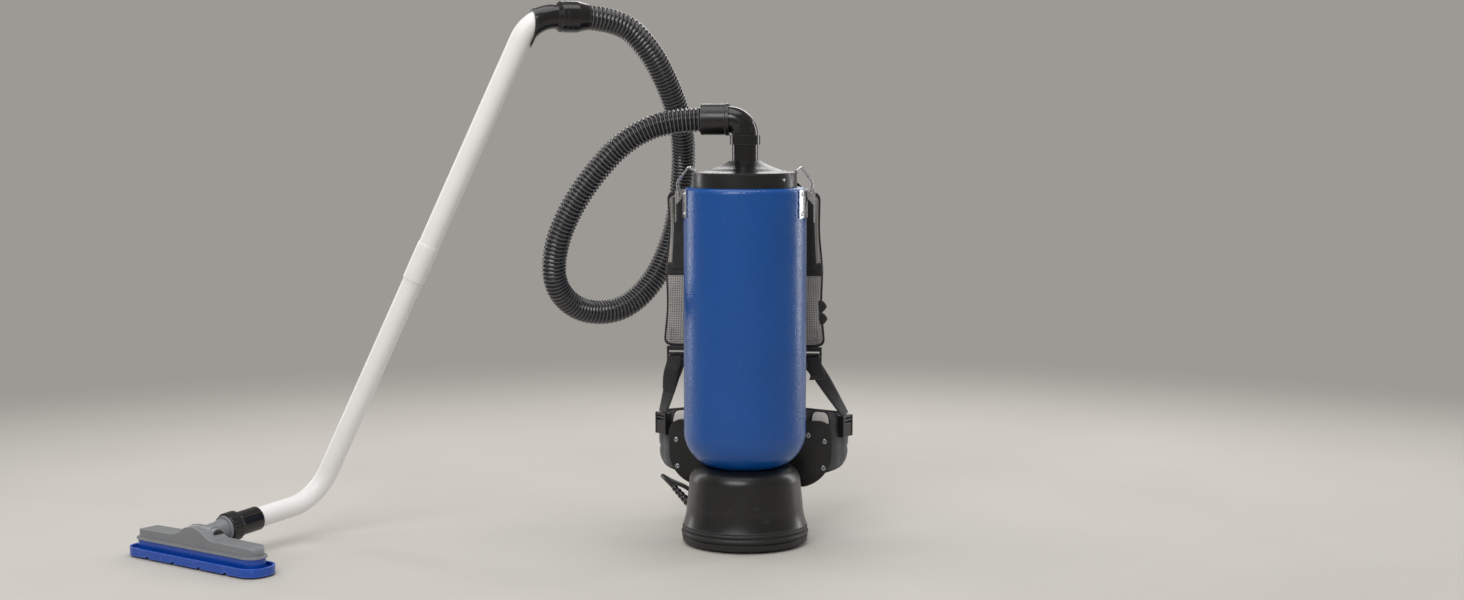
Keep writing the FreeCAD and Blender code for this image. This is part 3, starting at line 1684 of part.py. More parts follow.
def strap(points, tops, thickness):
    """Flat strap through points: each has the half-width vector of its top edge."""
    wires = []
    for i, (point, top) in enumerate(zip(points, tops)):
        before = points[max(i - 1, 0)]
        after = points[min(i + 1, len(points) - 1)]
        normal = (after - before).cross(top).normalize() * (thickness / 2)
        corners = [point - top - normal, point + top - normal, point + top + normal, point - top + normal]
        wires.append(Part.makePolygon(corners + [corners[0]]))
    return Part.makeLoft(wires, True, True)


def lock_centre(side):
    """Centre of the ladder lock below a shoulder pad."""
    x, back, _, thickness = shoulder_station(shoulder_bottom_z)
    return V(shoulder_shift + side * (x + lock_offset), back + thickness / 2,
             shoulder_bottom_z - lock_height / 2)


def build_ladder_locks():
    """Ladder locks at the lower ends of the shoulder pads, with a slot for the webbing."""
    locks = []
    for side in (-1, 1):
        c = lock_centre(side)
        half = lock_width / 2
        t = lock_thickness / 2
        body = box(c.x - half, c.x + half, c.y - t, c.y + t, c.z - lock_height / 2, c.z + lock_height / 2)
        slot_half = webbing_width / 2 + 1
        slot = box(c.x - slot_half, c.x + slot_half, c.y - t - 1, c.y + t + 1, c.z - 3, c.z + 3)
        locks.append(body.cut(slot))
    return locks


def adjuster_place(side):
    """Foot of an adjuster on the outer face of a hip pad, and the direction to the wearer there."""
    share, point, inward = hip_path(side)[adjuster_stations[side > 0]]
    _, high, _ = hip_section(share)
    return V(point.x, point.y, high - adjuster_drop) - inward * (adjuster_thickness / 2), inward


def build_adjusters():
    """Ladder locks on the outer faces of the hip pads."""
    locks = []
    for side in (-1, 1):
        foot, inward = adjuster_place(side)
        half = adjuster_width / 2
        body = box(-half, half, -adjuster_thickness / 2, adjuster_thickness / 2, 0, adjuster_height)
        slot_half = webbing_width / 2 + 1
        slot = box(-slot_half, slot_half, -adjuster_thickness, adjuster_thickness,
                   adjuster_height - 9, adjuster_height - 4)
        body = body.cut(slot)
        turn = FreeCAD.Rotation(inward.cross(Z_AXIS), inward, Z_AXIS, "ZXY")
        body.Placement = FreeCAD.Placement(foot, turn)
        locks.append(body)
    return locks


def build_webbing(side):
    """Adjusting webbing from a ladder lock down to the hip belt."""
    c = lock_centre(side)
    foot, inward = adjuster_place(side)
    foot = foot + V(0, 0, adjuster_height + contact_gap)
    start = V(c.x, c.y, c.z - lock_height / 2 - contact_gap)
    middle = (start + foot) * 0.5 + V(0, 3, 0)
    wide = V(webbing_width / 2, 0, 0)
    turned = inward.cross(Z_AXIS).normalize() * (webbing_width / 2)
    if turned.x < 0:
        turned = turned * -1
    return strap([start, middle, foot], [wide, (wide + turned).normalize() * (webbing_width / 2), turned],
                 webbing_thickness)


def hip_path(side):
    """Line in plan that a hip pad follows round the wearer, as its places and directions to the wearer."""
    bend_y = hip_face_y + hip_bend_radius
    turn = hip_bend_radius * math.sin(math.pi / 4)
    corner = V(hip_bend_x, hip_face_y, 0)
    side_end = V(hip_bend_x + hip_bend_radius, bend_y, 0)
    wrap_centre = V(side_end.x - hip_wrap_radius, bend_y, 0)
    edges = [
        Part.LineSegment(V(hip_pad_start, hip_face_y, 0), corner).toShape(),
        Part.Arc(corner, V(hip_bend_x + turn, bend_y - turn, 0), side_end).toShape(),
        Part.Arc(side_end, wrap_centre + polar(hip_wrap_radius, hip_wrap_turn / 2, 0),
                 wrap_centre + polar(hip_wrap_radius, hip_wrap_turn, 0)).toShape(),
    ]
    length = sum(edge.Length for edge in edges)
    shares = [i / hip_pad_sections for i in range(hip_pad_sections + 1)]
    places = []
    for share, (point, tangent) in zip(shares, stations(edges, [length * share for share in shares])):
        inward = Z_AXIS.cross(tangent).normalize()
        places.append((share, V(side * point.x, point.y, 0), V(side * inward.x, inward.y, 0)))
    return places


def hip_section(share):
    """Lower edge, upper edge and thickness of a hip pad along its path."""
    low = hip_pad_bottom_z + hip_pad_rise * share ** 1.5
    high = hip_pad_top_z - hip_pad_rise * share ** 1.5
    swell = math.sqrt(max(0.12, 1 - abs(2 * share - 1) ** 5))
    return low, high, hip_pad_thickness * swell


def build_hip_pad(side):
    """Hip pad: tall at the lumbar plate, narrower where it wraps forward."""
    wires = []
    for share, point, inward in hip_path(side):
        low, high, thickness = hip_section(share)
        centre = V(point.x, point.y, (low + high) / 2)
        wires.append(pad_section(centre, Z_AXIS, inward, (high - low) / 2, 0, thickness, 0.55 * thickness))
    return Part.makeLoft(wires, True, True)


def belt_points(side):
    """Belt webbing from a hip pad's end, forward and inwards."""
    _, point, inward = hip_path(side)[-1]
    low, high, thickness = hip_section(1)
    start = V(point.x, point.y, (low + high) / 2) + inward * (thickness / 2)
    return [start + V(-side * step[0], step[1], step[2]) for step in belt_steps]


def build_belt(side):
    """Belt strap that stands out from a hip pad's end and curves inwards."""
    return strap(belt_points(side), [V(0, 0, belt_width / 2)] * len(belt_steps), belt_thickness)


def build_buckle(side):
    """One half of the side-release buckle on the end of its strap."""
    before, end = belt_points(side)[-2:]
    along = (end - before).normalize()
    half = buckle_height / 2
    t = buckle_thickness / 2
    body = box(-half, half, -t, t, 0, buckle_length)
    if side < 0:
        mouth_low, mouth_high = buckle_length - buckle_prong, buckle_length + 1
        body = body.cut(box(-half + 4, half - 4, -t + 2, t - 2, mouth_low, mouth_high))
    else:
        low, high = buckle_length - 1, buckle_length + buckle_prong - 8
        prongs = [box(x - 3, x + 3, -t + 2.5, t - 2.5, low, high) for x in (-half + 9, 0, half - 9)]
        body = fuse_all([body] + prongs)
    body.Placement = FreeCAD.Placement(end, FreeCAD.Rotation(Z_AXIS, along.cross(Z_AXIS), along, "ZXY"))
    return body


# Pigtail cord

cord_out = V(cord_heading).normalize()
cord_root = polar(cord_root_radius, cord_angle, cord_exit_z)


def gland_rod(radius, start, end):
    """Round bar on the cord's exit axis, between two distances from the base's wall."""
    return rod(cord_root + cord_out * start, cord_root + cord_out * end, radius)


def build_gland():
    """Collar on the base's wall, with the stem that passes through it."""
    collar = gland_rod(gland_radius, -gland_radius / 2, gland_length).cut(base_solid(0))
    stem = gland_rod(gland_stem_radius, -gland_stem_length, gland_length)
    return fuse_all([collar, stem]).cut(gland_rod(cord_radius, -2 * gland_length, gland_length + 1))


def build_strain_relief():
    """Tapered relief with round beads along it."""
    bore = cord_radius + slip_gap
    steps = [(bore, 0), (relief_root_radius, 0)]
    pitch = relief_length / relief_rings
    for i in range(relief_rings):
        share = (i + 1) / relief_rings
        radius = relief_root_radius + (relief_tip_radius - relief_root_radius) * share
        waist = radius - 1.6
        steps.append(((radius, pitch * (i + 0.4)), (waist, pitch * (i + 0.8))))
        steps.append((waist, pitch * (i + 1)))
    steps.append((bore, relief_length))
    return along_axis(lathe(steps), cord_root + cord_out * gland_length, cord_out)


def cord_points():
    """Whole route of the cord from inside the base to the plug."""
    return [cord_root + cord_out * cord_start] + cord_route


def build_cord():
    """Round cord of the pigtail."""
    points = cord_points()
    radii = cord_radii(points)
    edges = path_edges(points, radii)
    cord = pipe(Part.Wire(edges), cord_radius)
    length = sum(edge.Length for edge in edges)
    section = math.pi * cord_radius ** 2
    print("cord length %.0f, volume over section %.4f" % (length, cord.Volume / (section * length)))
    print("cord radii", [round(r) for r in radii])
    return cord


plug_axis = (cord_route[-1] - cord_route[-2]).normalize()
plug_start = cord_route[-1]


def build_plug_body():
    """Moulded three-pin plug, lying on the floor."""
    steps = [
        (0, 0),
        (plug_neck, 0),
        (plug_neck + 1, plug_length * 0.4),
        ((plug_radius - 2, plug_length * 0.55), (plug_radius, plug_length * 0.8)),
        (plug_radius, plug_length),
        (0, plug_length),
    ]
    return along_axis(lathe(steps), plug_start, plug_axis)


def build_plug_prongs():
    """Two flat blades and a round earth pin."""
    side = Z_AXIS.cross(plug_axis).normalize()
    face = plug_start + plug_axis * plug_length
    pins = []
    for sign in (-1, 1):
        base = face + side * (sign * prong_gap / 2) + V(0, 0, 3)
        half_x, half_y = prong_thickness / 2, prong_width / 2
        blade = box(-half_x, half_x, -half_y, half_y, 0, prong_length)
        rotation = FreeCAD.Rotation(side, Z_AXIS, plug_axis, "ZXY")
        blade.Placement = FreeCAD.Placement(base, rotation)
        pins.append(blade)
    earth = face - V(0, 0, prong_gap / 2)
    pins.append(rod(earth, earth + plug_axis * (prong_length + 3), ground_prong_radius))
    return Part.makeCompound(pins)


export("tank", build_tank())
export("filter_bag", build_filter_bag())
export("bag_collar", build_bag_collar())
export("base_shell", build_base_shell())
export("bumper_ring", build_bumper())
export("bottom_grille", build_grille())
export("rubber_feet", build_feet())
export("base_screws", build_base_screws())
export("motor_gasket", build_motor_gasket())
export("fan_case", build_fan_case())
export("fan_impeller", build_impeller())
export("motor_frame", build_motor_frame())
export("field_stack", build_field_stack())
export("armature", build_armature())
export("motor_shaft", build_shaft())
export("bearings", build_bearings())
export("carbon_brushes", build_carbon_brushes())
export("exhaust_filter", build_exhaust_filter())
export("switch_housing", build_switch_housing())
export("switch_rocker", build_rocker())
export("lid_cover", build_lid_cover())
export("lid_band", build_lid_band())
export("lid_gasket", build_lid_gasket())
export("intake_neck", build_intake_neck())
export("elbow_collar", build_elbow_collar())
export("elbow", build_elbow())
export("hose_cuff_tank", build_cuff_tank())
export("hose", build_hose())
export("hose_cuff_wand", build_cuff_wand())
export("wand_grip", build_grip())
export("upper_wand", build_upper_wand())
export("lower_wand", build_lower_wand())
export("tool_skirt", build_tool_skirt())
export("tool_body", build_tool_body())
export("pivot_caps", build_pivot_caps())
export("tool_neck", build_tool_neck())
export("tool_nut", build_tool_nut())
export("tool_cuff", build_tool_cuff())
export("brush_strips", build_brush_strips())
export("latch_plates", build_latch_plates())
export("latch_rivets", build_latch_rivets())
lever = build_lever()
export("lever_right", lever)
export("lever_left", mirror_x(lever))
bail = build_bail()
export("bail_right", bail)
export("bail_left", mirror_x(bail))
export("back_plate", build_back_plate())
export("plate_standoffs", build_standoffs())
export("hip_plate", build_hip_plate())
export("hip_screws", build_hip_screws())
export("back_pad", build_back_pad())
shoulder_pads = [build_shoulder_pad(-1), build_shoulder_pad(1)]
export("shoulder_pads", Part.makeCompound(shoulder_pads))
export("hip_pads", Part.makeCompound([build_hip_pad(-1), build_hip_pad(1)]))
export("strap_locks", Part.makeCompound(build_ladder_locks() + build_adjusters()))
webbing = [build_webbing(-1), build_webbing(1), build_belt(-1), build_belt(1)]
export("harness_webbing", Part.makeCompound(webbing + build_pad_bands(shoulder_pads)))
export("buckle_socket", build_buckle(-1))
export("buckle_plug", build_buckle(1))
export("strain_relief", fuse_all([build_gland(), build_strain_relief()]))
export("power_cord", build_cord())
export("power_plug", build_plug_body())
export("plug_prongs", build_plug_prongs())
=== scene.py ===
"""Looks of a backpack vacuum cleaner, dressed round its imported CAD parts.

Every length is in metres unless a name ends in _mm. The origin is the centre of the base on the floor, +Z is up,
+Y is the harness side and -X is the side where the hose leaves the elbow.
"""
from __future__ import annotations

import json
import logging
import math
from collections.abc import Callable, Iterable, Sequence
from dataclasses import dataclass, field
from enum import Enum
from typing import ClassVar

import bmesh
import bpy
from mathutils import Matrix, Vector

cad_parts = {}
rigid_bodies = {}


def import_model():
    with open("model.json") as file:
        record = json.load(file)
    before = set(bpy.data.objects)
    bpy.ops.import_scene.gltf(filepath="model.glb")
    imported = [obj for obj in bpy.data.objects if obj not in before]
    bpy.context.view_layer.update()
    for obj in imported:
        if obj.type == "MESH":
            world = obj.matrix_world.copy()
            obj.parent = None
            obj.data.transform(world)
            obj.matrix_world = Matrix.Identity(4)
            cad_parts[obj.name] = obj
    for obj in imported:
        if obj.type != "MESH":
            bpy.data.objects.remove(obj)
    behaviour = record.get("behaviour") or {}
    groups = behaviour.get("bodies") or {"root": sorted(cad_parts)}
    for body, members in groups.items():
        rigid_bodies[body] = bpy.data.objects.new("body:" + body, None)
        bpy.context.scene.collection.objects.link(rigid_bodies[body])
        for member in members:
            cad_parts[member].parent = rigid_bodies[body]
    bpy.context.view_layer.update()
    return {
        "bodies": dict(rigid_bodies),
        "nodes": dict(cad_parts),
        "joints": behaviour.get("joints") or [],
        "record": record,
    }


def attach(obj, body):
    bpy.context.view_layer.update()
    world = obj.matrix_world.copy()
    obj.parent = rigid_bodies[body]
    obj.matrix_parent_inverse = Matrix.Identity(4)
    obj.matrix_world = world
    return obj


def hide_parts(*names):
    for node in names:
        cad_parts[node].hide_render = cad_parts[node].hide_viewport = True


LOG = logging.getLogger("backpack_vacuum")
MM = 0.001
FULL_TURN = 2 * math.pi
PHOTO_WIDTH_PX = 1464
RIGHT, TO_WEARER, UP = Vector((1, 0, 0)), Vector((0, 1, 0)), Vector((0, 0, 1))
HANDS = ((-1, "left"), (1, "right"))
SEAM_LIFT = 0.0006

Tree, Node, Socket = bpy.types.NodeTree, bpy.types.Node, bpy.types.NodeSocket
Material, Mesh, Piece = bpy.types.Material, bpy.types.Mesh, bpy.types.Object
SocketValue = float | int | bool | str | Sequence[float] | bpy.types.ID | Socket | Node
Triple = tuple[float, float, float]
Pairs = Sequence[tuple[float, float]]


def linear(code: str) -> tuple[float, float, float, float]:
    """Red, green, blue and an alpha of one in linear light, from six sRGB hex digits after a #."""
    parts = [int(code[i:i + 2], 16) / 255 for i in (1, 3, 5)]
    return (*[c / 12.92 if c <= 0.04045 else ((c + 0.055) / 1.055) ** 2.4 for c in parts], 1.0)


def add_node(tree: Tree, kind: str, inputs: dict[str | int, SocketValue] | None = None, **settings: object) -> Node:
    """Adds a node to a tree with its settings, its values and its links.

    Args:
        tree: Node tree that gets the node.
        kind: Blender's name of the node type.
        inputs: Value, output socket, or node whose first output is meant, for each input by name or number.
        settings: Attributes of the node.

    Returns:
        The new node.
    """
    node = tree.nodes.new(kind)
    for name, value in settings.items():
        setattr(node, name, value)
    for key, value in (inputs or {}).items():
        value = value.outputs[0] if isinstance(value, Node) else value
        if isinstance(value, Socket):
            tree.links.new(value, node.inputs[key])
        else:
            node.inputs[key].default_value = value
    return node


def calc(tree: Tree, operation: str, *values: SocketValue) -> Socket:
    """Output of a new Math node."""
    return add_node(tree, "ShaderNodeMath", dict(enumerate(values)), operation=operation).outputs[0]


def remap(tree: Tree, value: Socket, low: float, high: float, to_low: SocketValue = 0.0,
          to_high: SocketValue = 1.0) -> Socket:
    """Output of a new Map Range node."""
    return add_node(tree, "ShaderNodeMapRange", {"Value": value, "From Min": low, "From Max": high,
                                                 "To Min": to_low, "To Max": to_high}).outputs[0]


def blend(tree: Tree, share: Socket, first: SocketValue, second: SocketValue) -> Socket:
    """Output of a new Mix node for colours."""
    return add_node(tree, "ShaderNodeMix", {0: share, 6: first, 7: second}, data_type="RGBA").outputs[2]


def noise(tree: Tree, where: Socket, scale: float, detail: float = 2.0, distortion: float = 0.0) -> Socket:
    """Output of a new Noise Texture node."""
    return add_node(tree, "ShaderNodeTexNoise", {"Vector": where, "Scale": scale, "Detail": detail,
                                                 "Distortion": distortion}).outputs[0]


def circle(count: int) -> list[tuple[float, float]]:
    """Cosine and sine at even steps of a full turn."""
    return [(math.cos(FULL_TURN * k / count), math.sin(FULL_TURN * k / count)) for k in range(count)]


def heading(degrees: float) -> Vector:
    """Level direction at an angle from +X."""
    return Vector((math.cos(math.radians(degrees)), math.sin(math.radians(degrees)), 0))


def grid(rows: int, columns: int, start: int = 0) -> list[tuple[int, int, int, int]]:
    """Corner numbers of the faces between rows of points, which are stored one after another from a start."""
    wide = columns + 1
    return [(a, a + 1, a + wide + 1, a + wide)
            for i in range(rows) for a in range(start + i * wide, start + i * wide + columns)]


def blank(owner: Material | bpy.types.World) -> Tree:
    """Gives a new material or world an empty node tree.

    Args:
        owner: The new material or world.

    Returns:
        Its tree.
    """
    owner.use_nodes = True
    owner.node_tree.nodes.clear()
    return owner.node_tree


def pair_node(node: str, side: int) -> tuple[str, ...]:
    """CAD node of both sides, which the left piece replaces for both."""
    return (node,) if side < 0 else ()


class Surface(Enum):
    """How a surface was made, which sets its relief."""

    GRAIN = "leather grain from the mould"
    SPARK = "fine spark texture from the mould"
    SMOOTH = "polished mould or dip, with faint flow"
    BRUSHED = "drawn or rolled, with lines along one way"
    STACKED = "thin sheets in layers"
    WOUND = "wire laid side by side"
    WOVEN = "plain weave"
    RIBBED = "woven tape with ribs along it"
    NET = "spacer mesh with open cells"
    PRESSED = "paper or card fibres"


@dataclass(frozen=True)
class Finish:
    """One real material and how its surface was made.

    Attributes:
        name: Common name of the material and its making.
        slot: Material slot of the record that it belongs to.
        colour: Main colour, sRGB.
        shade: Colour of its clouds, and of its pits and the gaps between threads, where it is painted shade, sRGB.
        surface: Kind of relief.
        pitch_mm: Distance from one feature of the relief to the next.
        depth_mm: Height of the relief.
        roughness: Middle roughness.
        spread: How far the roughness wanders either way.
        cloud_mm: Size of the colour's clouds.
        ior: Index of refraction.
        metallic: One for bare metal.
        sheen: Weight of a cloth's soft edge light.
        along: Axis that brushed lines follow.
        wear_and_edge_highlight: How far edges and spots are paler and duller, as rubbed wear; the pale edges are
        also a painted highlight.
        crest_wear_and_highlight: Colour of a corrugation's crests, if any: partly wear, partly painted highlight.
    """

    name: str
    slot: str
    colour: str
    shade: str
    surface: Surface
    pitch_mm: float
    depth_mm: float
    roughness: float
    spread: float
    cloud_mm: float
    ior: float = 1.5
    metallic: float = 0.0
    sheen: float = 0.0
    along: int = 2
    wear_and_edge_highlight: float = 0.0
    crest_wear_and_highlight: str = ""

    @property
    def cloth(self) -> bool:
        """Whether its relief is made of threads."""
        return self.surface in (Surface.WOVEN, Surface.RIBBED, Surface.NET)

    @property
    def layered(self) -> bool:
        """Whether its relief is made of sheets or wires."""
        return self.surface in (Surface.STACKED, Surface.WOUND)


# Rotationally moulded polyethylene: the mould's leather grain breaks each highlight into small sparks. The grain is
# 1.5 mm apart in the real one, and drawn at 3.2 mm so that it shows.
TANK_BLUE = Finish("grained_polyethylene", "tank_plastic", "#024a94", "#023f80", Surface.GRAIN, 3.2, 0.3, 0.27,
                   0.04, 90, ior=1.51)
# Injection-moulded ABS with a spark-eroded mould: a soft wide highlight on near black
HOUSING_ABS = Finish("spark_textured_abs", "black_plastic", "#101011", "#0b0b0c", Surface.SPARK, 1.6, 0.04, 0.32,
                     0.05, 60, ior=1.53, wear_and_edge_highlight=0.35)
# Glossier ABS of the lid's neck, elbow and cuffs: sharp bright streaks along the tube
TUBE_ABS = Finish("glossy_black_abs", "black_plastic", "#0f0f10", "#0b0b0c", Surface.SMOOTH, 14, 0.02, 0.2, 0.03, 50,
                  ior=1.53, wear_and_edge_highlight=0.3)
# Polypropylene sheet, pressed smooth: black with a flat sheen
PLATE_PP = Finish("pressed_polypropylene", "black_plastic", "#111112", "#0c0c0d", Surface.SPARK, 1.8, 0.04, 0.3,
                  0.06, 70, ior=1.49, wear_and_edge_highlight=0.3)
# Moulded rubber: dull, a little dusty
RUBBER = Finish("moulded_rubber", "black_rubber", "#171718", "#202020", Surface.SPARK, 1.6, 0.06, 0.5, 0.08, 30,
                ior=1.52)
# Soft PVC jacket of a mains lead: slightly waxy
CORD_PVC = Finish("waxy_pvc_jacket", "black_rubber", "#161618", "#1e1e20", Surface.SMOOTH, 8, 0.02, 0.36, 0.06, 25,
                  ior=1.53)
# Extruded ribbed vinyl: each rib's crest is painted paler, partly as rubbed wear and partly as a painted highlight
# standing in for its thin bright line. The ribs are about 4.5 mm apart in the real one, and drawn at 6.8 mm so that
# they show.
HOSE_VINYL = Finish("ribbed_vinyl", "hose_plastic", "#0e0e10", "#09090a", Surface.SMOOTH, 30, 0.01, 0.24, 0.04, 60,
                    ior=1.53, crest_wear_and_highlight="#56565a")
# Glossy soft PVC of the strain relief: each bead has its own bright dot
RELIEF_PVC = Finish("glossy_soft_pvc", "black_rubber", "#111113", "#0b0b0c", Surface.SMOOTH, 20, 0.01, 0.16, 0.03,
                    25, ior=1.53)
# White ABS tube, polished: a clean warm white with faint handling marks
WAND_ABS = Finish("polished_white_abs", "wand_plastic", "#e6e4e2", "#dfddda", Surface.SMOOTH, 60, 0.01, 0.4, 0.02,
                  80, ior=1.46)
# Grey ABS of the floor tool: satin, a little scuffed, with pale edges that are partly a painted highlight
TOOL_ABS = Finish("satin_grey_abs", "tool_grey", "#7a7c7f", "#6d6f72", Surface.SPARK, 1.8, 0.04, 0.36, 0.06, 35,
                  ior=1.53, wear_and_edge_highlight=0.6)
# Soft blue vinyl of the skirt: shiny, with a pale edge painted on its lip, partly wear and partly highlight
SKIRT_VINYL = Finish("soft_blue_vinyl", "skirt_blue", "#0e46a6", "#093a90", Surface.SMOOTH, 20, 0.03, 0.22, 0.05, 30,
                     ior=1.53, wear_and_edge_highlight=0.75)
# Nylon bristle: dark matt fibres
BRISTLE_FIBRE = Finish("nylon_bristle", "bristle", "#232325", "#141415", Surface.BRUSHED, 0.4, 0.02, 0.7, 0.1, 4)
# Cold-rolled stainless sheet: fine lines along the strip
STAINLESS = Finish("rolled_stainless", "steel", "#c2c3c6", "#a9aaad", Surface.BRUSHED, 0.9, 0.006, 0.26, 0.06, 20,
                   metallic=1.0)
# Drawn and polished wire and rivets: mirror bright, with light drawing lines
BRIGHT_STEEL = Finish("polished_steel_wire", "polished_steel", "#cfd0d2", "#b9babd", Surface.BRUSHED, 0.4, 0.003,
                      0.16, 0.05, 12, metallic=1.0)
# Zinc-plated screws and pressings: a greyish soft metal shine
ZINC = Finish("zinc_plate", "zinc_steel", "#a9abae", "#8d9094", Surface.SPARK, 0.6, 0.008, 0.34, 0.08, 8,
              metallic=1.0)
# Turned shaft and bearing steel: fine rings
TURNED_STEEL = Finish("turned_steel", "steel", "#b3b4b6", "#9b9c9f", Surface.BRUSHED, 0.3, 0.004, 0.25, 0.05, 10,
                      metallic=1.0, along=0)
# Deep-drawn aluminium: pale, soft shine
ALUMINIUM = Finish("drawn_aluminium", "fan_aluminium", "#c6c8ca", "#aeb1b4", Surface.BRUSHED, 0.6, 0.006, 0.34,
                   0.06, 25, metallic=1.0)
# Motor laminations: half-millimetre sheets seen from their edges
LAMINATION = Finish("stacked_laminations", "laminated_steel", "#6c6d70", "#3d3e40", Surface.STACKED, 1.0, 0.08,
                    0.45, 0.08, 15, metallic=1.0)
# Varnished copper wire: warm, close wound
COPPER = Finish("varnished_copper_wire", "winding_copper", "#a8562a", "#6f3517", Surface.WOUND, 0.8, 0.2, 0.35, 0.08,
                12, metallic=1.0)
# Pressed carbon block: flat black
CARBON = Finish("pressed_carbon", "carbon", "#1a1a1b", "#262627", Surface.SPARK, 0.4, 0.02, 0.7, 0.08, 5)
# Unbleached filter paper: warm tan with fibres
BAG_PAPER = Finish("filter_bag_paper", "bag_paper", "#cbbd9c", "#b8a985", Surface.PRESSED, 2.4, 0.08, 0.85, 0.05, 18)
# Grey card with short fibres
CARD = Finish("pressed_card", "collar_card", "#b29c78", "#9c8763", Surface.PRESSED, 1.5, 0.05, 0.8, 0.05, 14)
# White filter felt: pale and matt
FILTER_FELT = Finish("filter_felt", "filter_paper", "#dcdad2", "#c3c1b8", Surface.PRESSED, 1.8, 0.1, 0.9, 0.05, 12)
# Polished switch nylon: deep black with a crisp highlight
SWITCH_NYLON = Finish("glossy_black_nylon", "switch_black", "#121214", "#0d0d0f", Surface.SMOOTH, 10, 0.02, 0.18,
                      0.05, 20, ior=1.53)
# Moulded acetal of buckles and ladder locks: satin black
ACETAL = Finish("moulded_acetal", "switch_black", "#1b1b1d", "#262628", Surface.SPARK, 0.6, 0.03, 0.34, 0.07, 12,
                ior=1.48)
# Warp-knit spacer mesh: pale grey threads round open cells that are painted dark as shade. The cells are 3 mm apart in
# the real one, and drawn at 4 mm so that they show.
MESH_NET = Finish("spacer_mesh", "harness_mesh", "#b0aba6", "#2b2826", Surface.NET, 4.0, 0.8, 0.85, 0.05, 30,
                  sheen=0.15)
# Charcoal nylon of the hip pads: a basket weave that catches grey light. Its threads are 1 mm apart in the real one,
# and drawn at 2.6 mm so that they show.
PAD_NYLON = Finish("charcoal_nylon", "pad_fabric", "#4c4d51", "#17181a", Surface.WOVEN, 2.6, 0.5, 0.75, 0.06, 14,
                   sheen=0.2)
# Pale tricot of the hip pads' patch: a fine matt weave
PATCH_TRICOT = Finish("pale_tricot", "harness_mesh", "#d2cdc8", "#b0aba6", Surface.WOVEN, 0.9, 0.12, 0.85, 0.05, 10,
                      sheen=0.2)
# Binding tape: black ribbed polyester
BINDING = Finish("polyester_binding", "webbing_fabric", "#1c1c1e", "#0c0c0d", Surface.RIBBED, 1.1, 0.18, 0.72, 0.06,
                 14, sheen=0.15)
# Harness webbing: black nylon with ribs along it
WEBBING = Finish("nylon_webbing", "webbing_fabric", "#232325", "#0d0d0e", Surface.RIBBED, 1.6, 0.3, 0.6, 0.08, 25,
                 sheen=0.2)
# Bonded nylon thread: a shade lighter than the tape, so that the stitches show
THREAD = Finish("bonded_thread", "webbing_fabric", "#4a4a4d", "#303032", Surface.BRUSHED, 0.3, 0.02, 0.5, 0.05, 4)
# Moulded PVC of the plug: satin black
PLUG_PVC = Finish("moulded_pvc", "plug_plastic", "#1b1b1d", "#242426", Surface.SPARK, 0.8, 0.03, 0.42, 0.06, 15,
                  ior=1.53)
# Bright brass of the prongs: warm narrow highlights
PRONG_BRASS = Finish("bright_brass", "prong_brass", "#cdb271", "#b3985a", Surface.BRUSHED, 0.4, 0.004, 0.24, 0.05, 6,
                     metallic=1.0, along=0)


